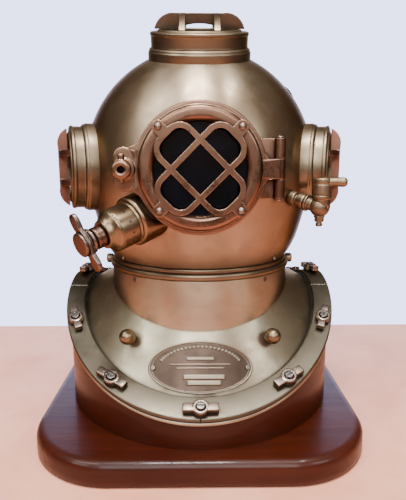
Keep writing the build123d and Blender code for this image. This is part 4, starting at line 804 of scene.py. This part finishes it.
def make_bonnet_ring():
    """Bonnet's neck ring: a narrow outer band, a skirt in the bonnet, a spigot below and bayonet lugs."""
    outline = [
        (99, 192.1), (103.7, 192.1), (103.7, 207.1), (113.4, 207.1), (113.4, 210.6), (112.4, 211.7),
        (108.2, 211.7), (108.2, 221.7), (103.2, 221.7), (99.4, 208),
    ]
    grids = [lathed(outline, 0.7)]
    for middle in (45, 135, 225, 315):
        lug = band(ring_point, np.linspace(middle - 18, middle + 18, 14), 103, 107.2, 192.1, 198.5, 0.5)
        grids.append((capped(lug), True, False))
    node = "bonnet_neck_ring"
    # the bonnet's neck ring takes the darker ring brass: painted shade
    build(node + "_turned", grids, BONNET, ring_brass_painted_shade, (node,), 45)


# side and top lights

def make_light(name, place, opening, flange, ring, glass_radius, flange_top, ring_top, seat_depth):
    """A light: a stepped frame that comes out of the bonnet, a beaded ring with a lip, and its glass."""
    sleeve = opening + 7
    low = flange_top + SEAT_GAP
    lip = (opening + glass_radius) / 2
    glass_top = low + 1.5 + 8 + 0.6
    frame_outline = [
        (opening, 126), (sleeve, 126), (sleeve, seat_depth + 2.4), (flange, seat_depth),
        (flange, flange_top - 4.6), (flange - 1, flange_top - 3.4), (flange - 1, flange_top - 1.8),
        (flange - 2.8, flange_top), (opening, flange_top),
    ]
    ring_outline = [
        (glass_radius + 0.3, low), (ring - 0.5, low), (ring - 0.9, low + 1), (ring - 0.9, ring_top - 4.4),
        (ring, ring_top - 3.6), (ring, ring_top - 1.2), (ring - 1.6, ring_top), (lip + 0.6, ring_top),
        (lip, ring_top + 1.4), (lip - 1.4, ring_top + 2), (opening + 0.6, ring_top + 2),
        (opening, ring_top + 1.2), (opening, glass_top), (glass_radius + 0.3, glass_top),
    ]
    for kind, outline, rounding in (("_frame", frame_outline, 0.9), ("_ring", ring_outline, 0.7)):
        grids = [lathed(outline, rounding, place, 160)]
        build(name + kind + "_turned", grids, BONNET, ring_brass, (name + kind,), 45)
    middle = low + 1.8
    pane = [(0, middle), (glass_radius, middle), (glass_radius, middle + 8), (0, middle + 8)]
    build(name + "_pane", [lathed(pane, 0.5, place, 96)], BONNET, glass, (name + "_glass",), 40)


def make_lights():
    for name, place, sizes in (
        ("left_light", LEFT_LIGHT, (38.5, 51.6, 48.7, 44, 148, 162, 132.2)),
        ("right_light", RIGHT_LIGHT, (38.5, 51.6, 48.7, 44, 148, 162, 132.2)),
        ("top_light", TOP_LIGHT, (45.5, 59.8, 57, 51, 143.5, 160.5, 128.9)),
    ):
        make_light(name, place, *sizes)
    for node in ("left_light_guard", "right_light_guard"):
        eased_copy(node, BONNET, guard_copper, 1, 3)
    eased_copy("top_light_guard", BONNET, guard_brass, 1, 3)


# front light

FRONT_FACE = forward(0)
LATCH_X = -76
LATCH = forward(LATCH_X)
DOOR_R = 67
# corners of the hinge tongue on the door's plane, and the lean of the latch lug's sides
TONGUE = ((60, 23), (69, 10), (81, 10), (81, -10), (69, -10), (60, -23))
LUG_LEAN = math.radians(16.6)


def door_reach(turn):
    """How far the door plate reaches from its middle at each angle: disc, hinge tongue and a flare."""
    reach = np.full_like(turn, DOOR_R)
    line = np.array(TONGUE, float)
    for first, second in zip(line[:-1], line[1:]):
        side = second - first
        cross = np.cos(turn) * side[1] - np.sin(turn) * side[0]
        cross = np.where(np.abs(cross) < 1e-9, 1e-9, cross)
        distance = (first[0] * side[1] - first[1] * side[0]) / cross
        along = (np.cos(turn) * first[1] - np.sin(turn) * first[0]) / cross * -1
        hit = (distance > 0) & (along >= 0) & (along <= 1)
        reach = np.where(hit, np.maximum(reach, distance), reach)
    beyond = np.abs(turn - np.pi) - LUG_LEAN
    flared = DOOR_R + 9 * np.clip(1 - np.abs(beyond) / math.radians(9), 0, 1) ** 2
    return np.maximum(reach, flared)


def lug_reach(turn):
    """How far the latch lug reaches from its bore at each angle: an upright bar with round ends.

    A ray meets a round end at b + sqrt(b^2 - c^2 + r^2), where b is its way to the level of the end's middle,
    c the end's distance from the bore and r its radius. On the disc's side the lug is bounded by a line that
    touches the ends.
    """
    end, radius = 11, 11.4
    up = np.abs(np.sin(turn))
    across = np.maximum(np.abs(np.cos(turn)), 1e-6)
    ends = end * up + np.sqrt((end * up) ** 2 - end ** 2 + radius ** 2)
    bar = np.where(radius * up <= end * across, radius / across, ends)
    slant = (end + radius) / (up + math.tan(LUG_LEAN) * across)
    return np.where(np.cos(turn) > 0, np.minimum(12 / across, slant), bar)


def make_door():
    """Door: the plate's outline by angle, with eased edges, and on it the crowned ring with its flat land."""
    inset = np.array([1, 0.3, 0, 0, 0.25, 0.9, 2])[:, None]
    height = np.array([141, 141.2, 141.9, 145.6, 146.4, 146.9, 147])[:, None]
    bore_height = np.array([147, 141])[:, None]
    x, y = np.array(TONGUE, float).T
    corners = np.degrees(np.arctan2(y, x)) % 360
    turn = np.concatenate([around(480, 360), corners, corners + 0.15, corners - 0.15])
    turn = np.radians(np.unique(turn % 360))
    plate = np.concatenate([polar(door_reach(turn) - inset, turn, height), polar(52.3, turn, bore_height)])
    turn = np.radians(around(120, 360))
    lug = np.concatenate([polar(lug_reach(turn) - inset, turn, height), polar(3.75, turn, bore_height)])
    lug[..., 2] -= 0.1
    crown = [
        (46.5, 146), (62.9, 146), (62.5, 148.6), (62.1, 152.4), (60.6, 154.8), (58.2, 156), (51.4, 156),
        (49.6, 155.4), (47.4, 153.8), (46.5, 151.8),
    ]
    boss = [(3.7, 146.6), (11.4, 146.6), (11, 149.2), (9.8, 150), (4.6, 150), (3.7, 149.2)]
    barrel = [(2.6, 313), (6, 313), (6, 333), (2.6, 333)]
    hinge = upright((81, -137, 0))
    grids = [
        (moved(plate, FRONT_FACE), True, True), (moved(lug, LATCH), True, True),
        lathed(crown, 1.1, FRONT_FACE, 200), lathed(boss, 0.6, LATCH, 64), lathed(barrel, 0.5, hinge, 48),
    ]
    build("front_door_cast", grids, DOOR, copper_brass, ("front_door",), 45)
    pane = [(0, 141.6), (52, 141.6), (52, 146.3), (46.4, 147.4), (0, 148.1)]
    build("front_pane", [lathed(pane, 0.6, FRONT_FACE, 120)], DOOR, glass, ("front_glass",), 40)


def make_front_fittings():
    eased_copy("front_port_frame", BONNET, copper_brass, 0.6)
    eased_copy("front_grille", DOOR, copper_brass, 0.95, 3)
    eased_copy("grille_screws", DOOR, fitting_brass, 0.2)
    eased_copy("hinge_pin", BONNET, fitting_brass, 0.4)
    eased_copy("latch_collar", "latch_collar", copper_brass, 0.4)


def make_latch_screw():
    """Latch screw: a shank, a waisted neck, a dished round head with a hole darkened by a disc of painted
    shade, and two stubby ears.
    """
    body = "latch_screw"
    place = forward(LATCH_X, 150)
    outline = [
        (0, -8.7), (3.6, -8.7), (3.6, 9.9), (6.6, 9.9), (7, 11), (5.6, 12.6), (6.2, 14.4), (9, 15.4),
        (9.6, 17), (8.8, 19), (6.4, 19.9), (4, 19.5), (3.5, 18.4), (3.4, 12), (0, 11.9),
    ]
    grids = [lathed(outline, 0.8, place, 56)]
    for side, half in ((-1, (2.5, 3.4, 2.7)), (1, (3, 4.6, 3))):
        grids.append(rounded_block(half, 2.2, (0, side * (6.4 + half[1]), 15), place, 6))
    build("latch_wing_screw_cast", grids, body, copper_brass, ("latch_wing_screw",), 50)
    # a dark glass disc low in the head's hole: painted shade
    shade = lathed([(0, 11.8), (3.45, 11.8), (3.45, 13), (0, 13)], 0.2, place, 32)
    build("latch_screw_hole_painted_shade", [shade], body, glass)


# exhaust valve

VALVE_OUT = unit([-57, -52, -23])
VALVE = place_at((-117, -176, 250.5), VALVE_OUT, (-0.445, 0.069, 0.893))


def make_exhaust_valve():
    """Exhaust valve: the barrel with its row of vents, painted as dark rubber dots of shade, the root on the
    bonnet, and the tapered cap.
    """
    barrel = [
        (12, -98), (22.2, -98), (22.2, -60.4), (21.5, -59.8), (21.5, -58.8), (22.2, -58.2), (22.2, -39.2),
        (21.6, -38), (18.6, -38), (18.6, -70.3), (12, -70.3),
    ]
    root = [(21.9, -92), (26.5, -92), (26.5, -63.4), (25, -61.4), (21.9, -61)]
    grids = []
    for outline, rounding, depth in ((barrel, 0.5, 140.4), (root, 1, 71.8)):
        grids.append((clear_of_door(lathed(outline, rounding, VALVE, 144)[0], depth), True, True))
    build("exhaust_barrel", grids, BONNET, gold_brass, ("exhaust_valve_body",), 45)
    # dark rubber dots on the solid barrel stand for the vent holes: painted shade
    plug = [(0, 20.4), (1.25, 20.4), (1.25, 22.35), (0, 22.35)]
    origin, axes = VALVE
    vent_shade_dots = []
    for turn in np.radians(np.arange(12) * 30):
        out = axes @ np.array([math.cos(turn), math.sin(turn), 0])
        vent_shade_dots.append(lathed(plug, 0.1, place_at(origin + axes[:, 2] * -50, out, axes[:, 2]), 16))
    build("exhaust_vent_painted_shade", vent_shade_dots, BONNET, rubber)
    cap = [
        (3.6, -26.6), (14, -26.6), (15, -27.8), (15.3, -29), (17, -32.4), (21.4, -36), (22.2, -37.7),
        (18.5, -37.7), (18.5, -41.3), (15, -41.3), (10.6, -31), (3.6, -31),
    ]
    grids = [lathed(cap, [0.6, 0.8, 0.8, 2, 4, 1] + [0.3] * 6, VALVE, 144)]
    build("exhaust_cap_turned", grids, BONNET, gold_brass, ("exhaust_valve_cap",), 45)


def clear_of_door(points, depth):
    """Points before a depth and nearer to the front light's axis than the door's edge, drawn clear of it."""
    clear = DOOR_R + 0.6
    reach = np.hypot(points[..., 0], points[..., 2] - BONNET_Z)
    near = (reach < clear) & (points[..., 1] < -depth)
    scale = np.where(near, clear / np.maximum(reach, 1e-6), 1)
    height = BONNET_Z + (points[..., 2] - BONNET_Z) * scale
    return np.stack([points[..., 0] * scale, points[..., 1], height], axis=-1)


def make_exhaust_handle():
    """Handle: a button and a round back, a bar with broad wings between them, and a brown collar on a stem.

    The bar reaches 31 mm to each side. Its half width is 5 mm, and grows by 4 mm at the middle and by 3 mm at
    the wings. Its reach and half width follow a power of the cosine and the sine, which makes its ends blunt.
    """
    body = "exhaust_handle"
    button = [(0, -5), (9, -5), (9, -3.6), (12.4, -3.4), (12.8, -2.2), (12.6, -0.9), (11.4, -0.1), (0, 0)]
    back = [(0, -16.2), (8.4, -16.2), (10, -15.2), (12.8, -13.2), (13, -11.4), (11.6, -10), (0, -9.6)]
    stem = [(0, -43), (3.5, -43), (3.5, -26), (0, -26)]
    collar = [(0, -26.3), (10.6, -26.3), (11.5, -25), (11.3, -21), (11.5, -17.4), (10.4, -15.8), (0, -15.8)]
    turn = around(120)
    x = 31 * np.sign(np.cos(turn)) * np.abs(np.cos(turn)) ** 0.5
    lobe = 5 + 3 * np.clip((np.abs(x) - 14) / 10, 0, 1) + 4 * np.exp(-(x / 9) ** 2)
    y = lobe * np.sign(np.sin(turn)) * np.abs(np.sin(turn)) ** 0.6
    inset = np.array([0, 0.86, 0.97, 1, 1, 0.97, 0.86, 0])[:, None]
    height = np.array([-5, -5.1, -5.5, -6.2, -9, -9.7, -10.1, -10.2])[:, None]
    bar = np.stack([x * inset, y * inset, np.broadcast_to(height, (8, len(turn)))], axis=-1)
    grids = [lathed(outline, soft, VALVE, 72) for outline, soft in ((button, 0.7), (back, 1), (stem, 0.4))]
    grids.append((moved(bar, VALVE), False, True))
    build("exhaust_handle_cast", grids, body, handle_bronze, ("exhaust_handle",), 50)
    grids = [lathed(collar, 1, VALVE, 72)]
    build("exhaust_handle_collar", grids, body, collar_brown, (), 45)


# spitcock

SPIT = bonnet_place(46.5, -13)
BALL = SPIT[0] + SPIT[1][:, 2] * 181
LEVER_WAY = ring_point(66, 1, 0)
TOWER = BALL + LEVER_WAY * 2


def make_spitcock():
    """Spitcock: collars along a stub, a ball, the seat of the plug, and a nipple with a small tip."""
    stub = [
        (0, 136), (7, 136), (7.4, 143.6), (8, 144.4), (8, 149.4), (7.4, 150.8), (5.6, 151.6), (5.4, 153.6),
        (8, 154.2), (8.6, 155.6), (8.6, 161.4), (8, 162.8), (6.4, 163.2), (6.6, 163.6), (9, 164), (9.2, 165),
        (9, 166.6), (7, 167.2), (7, 180), (0, 181),
    ]
    ball = np.concatenate([arc(10.6, 0, -90, 58, 26), [(5.8, 9), (5.8, -4.8), (0, -4.8)]])
    seat = [(5.65, -4.6), (9, -1), (9, 8.8), (10, 9.8), (10, 12.4), (9.4, 13), (5.65, 13)]
    hexed = [(0, -15.6), (5, -15.6), (5.3, -14.6), (5.3, -11.4), (6.4, -9.4), (0, -8)]
    tip = [(1.6, -13), (1.6, -20.6), (3, -20.6), (3.8, -19.2), (3.8, -17.8), (2.8, -16.6), (3.4, -15.2)]
    tip += [(3.4, -13)]
    above, below = upright(TOWER), upright(BALL)
    grids = [
        lathed(stub, 0.6, SPIT, 64), (turned(ball, below, 56), False, True), lathed(seat, 0.5, above, 56),
        lathed(hexed, 0.3, below, 6), lathed(tip, 0.4, below, 40),
    ]
    build("spitcock_cast", grids, BONNET, spit_brass, ("spitcock_body",), 45)
    knob = [
        (0, -4.3), (5.6, -4.3), (5.6, 13.2), (9.2, 13.3), (9.6, 14.2), (9.6, 23.8), (9.1, 24.3), (9.1, 25.1),
        (9.6, 25.6), (9.6, 29.8), (8.7, 31), (3.2, 31), (2.4, 30.6), (0, 30.6),
    ]
    lever = [(0, 0), (5, 0), (4.7, 9), (4.8, 15), (5.2, 19.4), (5, 23.2), (3, 25.6), (0, 25.7)]
    sideways = place_at(TOWER + np.array([0, 0, 27]), LEVER_WAY, (0, 0, 1))
    grids = [lathed(knob, 0.5, above, 64), lathed(lever, 1.8, sideways, 48)]
    build("spitcock_lever", grids, "spitcock_plug", spit_brass, ("spitcock_plug",), 45)


# elbows

def make_elbow(name, azimuth):
    """Elbow: a tube that leaves the bonnet, turns on a round bend and runs down to a round union."""
    bend_radius, lean, rise = 16, math.radians(30), 38
    origin, axes = bonnet_place(azimuth, rise)
    out = axes[:, 2]
    down = ring_point(azimuth, math.sin(lean), -math.cos(lean))
    corner = origin + out * (147.5 + 30)
    half = math.acos(float(np.clip(out @ down, -1, 1))) / 2
    reach = bend_radius * math.tan(half)
    start, end = origin + out * 138, corner + down * 54
    first, last = corner - out * reach, corner + down * reach
    swing = np.linspace(0, 2 * half, 26)[:, None]
    inward = unit(down - out * (down @ out))
    bend = first + out * bend_radius * np.sin(swing) + inward * bend_radius * (1 - np.cos(swing))
    stem = start + (first - start) * np.linspace(0, 1, 8)[:, None]
    tail = last + (end - last) * np.linspace(0, 1, 10)[:, None]
    path = np.concatenate([stem, bend[1:-1], tail])
    tube = np.concatenate([swept(path, 12), swept(path, 8)[::-1]])
    flange = [
        (11.7, 139.6), (25, 141.2), (25, 146.4), (24, 147.5), (14.6, 147.5), (13.2, 148.6), (12.4, 150.6),
        (11.7, 151.4),
    ]
    union = [(8, 0), (13.4, 0), (14.5, 1.2), (14.5, 7.8), (13.4, 9), (11.9, 9.2), (11.9, 11), (8, 11)]
    mouth = place_at(end, -down, ring_point(azimuth + 90, 1, 0))
    grids = [(tube, True, True), lathed(flange, 0.8, (origin, axes), 96), lathed(union, 0.5, mouth, 72)]
    build(name + "_bent", grids, BONNET, ring_brass, (name,), 45)


# pieces that keep their CAD mesh

def finish_rest():
    """Gaskets and inner pieces, shown as packed with their finish, and small fasteners as eased copies."""
    for finish, names in (
        (steel, ("base_screws", "exhaust_spring")),
        (leather, ("neck_gasket",)),
        (rubber, ("left_light_gasket", "right_light_gasket", "top_light_gasket", "front_glass_gasket")),
        (gold_brass, ("exhaust_follower", "exhaust_disc")),
    ):
        for name in names:
            for slot in nodes[name].material_slots:
                slot.material = finish
    for name, body, finish, easing, segments in (
        ("brail_studs", STAND, stud_brass, 0.3, 2), ("neck_ring_screws", STAND, stud_brass, 0.2, 2),
        ("name_plate_screws", STAND, fitting_brass, 0.5, 3),
        ("bonnet_ring_rivets", BONNET, fitting_brass, 0, 2), ("elbow_screws", BONNET, fitting_brass, 0.4, 2),
    ):
        eased_copy(name, body, finish, easing, segments)


# room

def make_floor():
    """Plain pale floor with a faint warm mottle. It ends behind the stand, where the pale backdrop begins."""
    material, add, join, where = new_finish("pale_floor", Roughness=0.42)
    mottle = remap(add, noise(add, where, 9, 5, 0.6, 0.4), 0.3, 0.7)
    join(Base_Color=blend_colour(add, mottle, (0.7, 0.27, 0.165), (0.82, 0.38, 0.26)))
    left, front, right, back, level = -1.2, -1.2, 1.2, 0.3, -0.0004
    corners = [(left, front, level), (right, front, level), (right, back, level), (left, back, level)]
    mesh = bpy.data.meshes.new("pale_floor")
    mesh.from_pydata(corners, [], [(0, 1, 2, 3)])
    mesh.materials.append(material)
    linked("pale_floor", mesh)


def make_world():
    """Soft room light by direction: bright overhead, dark and warm below, with a pale backdrop behind."""
    world = bpy.data.worlds.new("soft_room")
    bpy.context.scene.world = world
    world.use_nodes = True
    tree = world.node_tree
    add = node_adder(tree)
    where = add("ShaderNodeTexCoord").outputs["Generated"]
    ramp = add("ShaderNodeValToRGB", {0: dot(add, where, (0, -0.25, 0.968))})
    stops = (
        (0, (0.055, 0.042, 0.034, 1)), (0.3, (0.2, 0.155, 0.12, 1)),
        (0.6, (0.34, 0.29, 0.245, 1)), (1, (0.25, 0.24, 0.23, 1)),
    )
    while len(ramp.color_ramp.elements) < len(stops):
        ramp.color_ramp.elements.new(0.5)
    for element, (position, colour) in zip(ramp.color_ramp.elements, stops):
        element.position = position
        element.color = colour
    behind = remap(add, dot(add, where, (0, 0.9997, -0.026)), 0.78, 0.86)
    light = blend_colour(add, behind, ramp.outputs[0], (2.6, 2.85, 4.3))
    tree.links.new(light, tree.nodes["Background"].inputs[0])


def stand_at(thing, origin, out, across):
    """Put an object at a point with its Z along out and its X along across."""
    origin, axes = place_at(origin, out, across)
    turn = np.eye(4)
    turn[:3, :3] = axes
    turn[:3, 3] = origin
    thing.matrix_world = Matrix(turn.tolist())


def add_light(name, place, target_height, size, power, colour):
    """Area light that faces a point over the stand's middle, sizes in metres."""
    light = bpy.data.lights.new(name, "AREA")
    light.shape = "RECTANGLE"
    light.size, light.size_y = size
    light.energy = power
    light.color = colour
    stand_at(linked(name, light), place, np.subtract(place, (0, 0, target_height)), (1, 0.01, 0))


def make_lights_in_room():
    warm, cool = (1, 0.98, 0.95), (0.97, 1, 0.98)
    for lamp in (
        ("ceiling_lamp", (-0.05, -0.62, 2.3), 0.3, (0.5, 0.42), 70, warm),
        ("second_lamp", (0.75, -0.35, 2.2), 0.3, (0.12, 0.9), 16, warm),
        ("left_ceiling_lamp", (-1.1, -0.7, 1.95), 0.3, (0.9, 0.6), 22, (1, 0.99, 0.97)),
        ("front_window", (-0.05, -1.9, 1.36), 0.2, (1.5, 1.3), 52, cool),
        ("left_window", (-1.45, -1.25, 1.25), 0.2, (0.7, 0.6), 12, cool),
        ("right_window", (1.45, -1.25, 1.25), 0.2, (0.7, 0.6), 12, cool),
    ):
        add_light(*lamp)


def make_camera():
    """Camera at the photograph's place: low over the floor, tipped down a little."""
    lens = bpy.data.cameras.new("camera")
    lens.sensor_fit = "VERTICAL"
    lens.sensor_height = 36
    lens.lens = 34.57
    camera = linked("camera", lens)
    tip = math.radians(10.77)
    ahead = np.array([0.0134 * math.cos(tip), math.cos(tip), -math.sin(tip)])
    stand_at(camera, (-0.0038, -0.6333, 0.3333), -ahead, np.cross(ahead, [0, 0, 1]))
    bpy.context.scene.camera = camera


make_board()
make_riser()
make_breastplate()
make_rim()
make_wing_nuts()
make_lanyard_studs()
make_neck_ring()
make_name_plate()
make_bonnet()
make_bonnet_ring()
make_lights()
make_door()
make_front_fittings()
make_latch_screw()
make_exhaust_valve()
make_exhaust_handle()
make_spitcock()
make_elbow("air_elbow", 124)
make_elbow("telephone_elbow", -132)
finish_rest()
make_floor()
make_world()
make_lights_in_room()
make_camera()
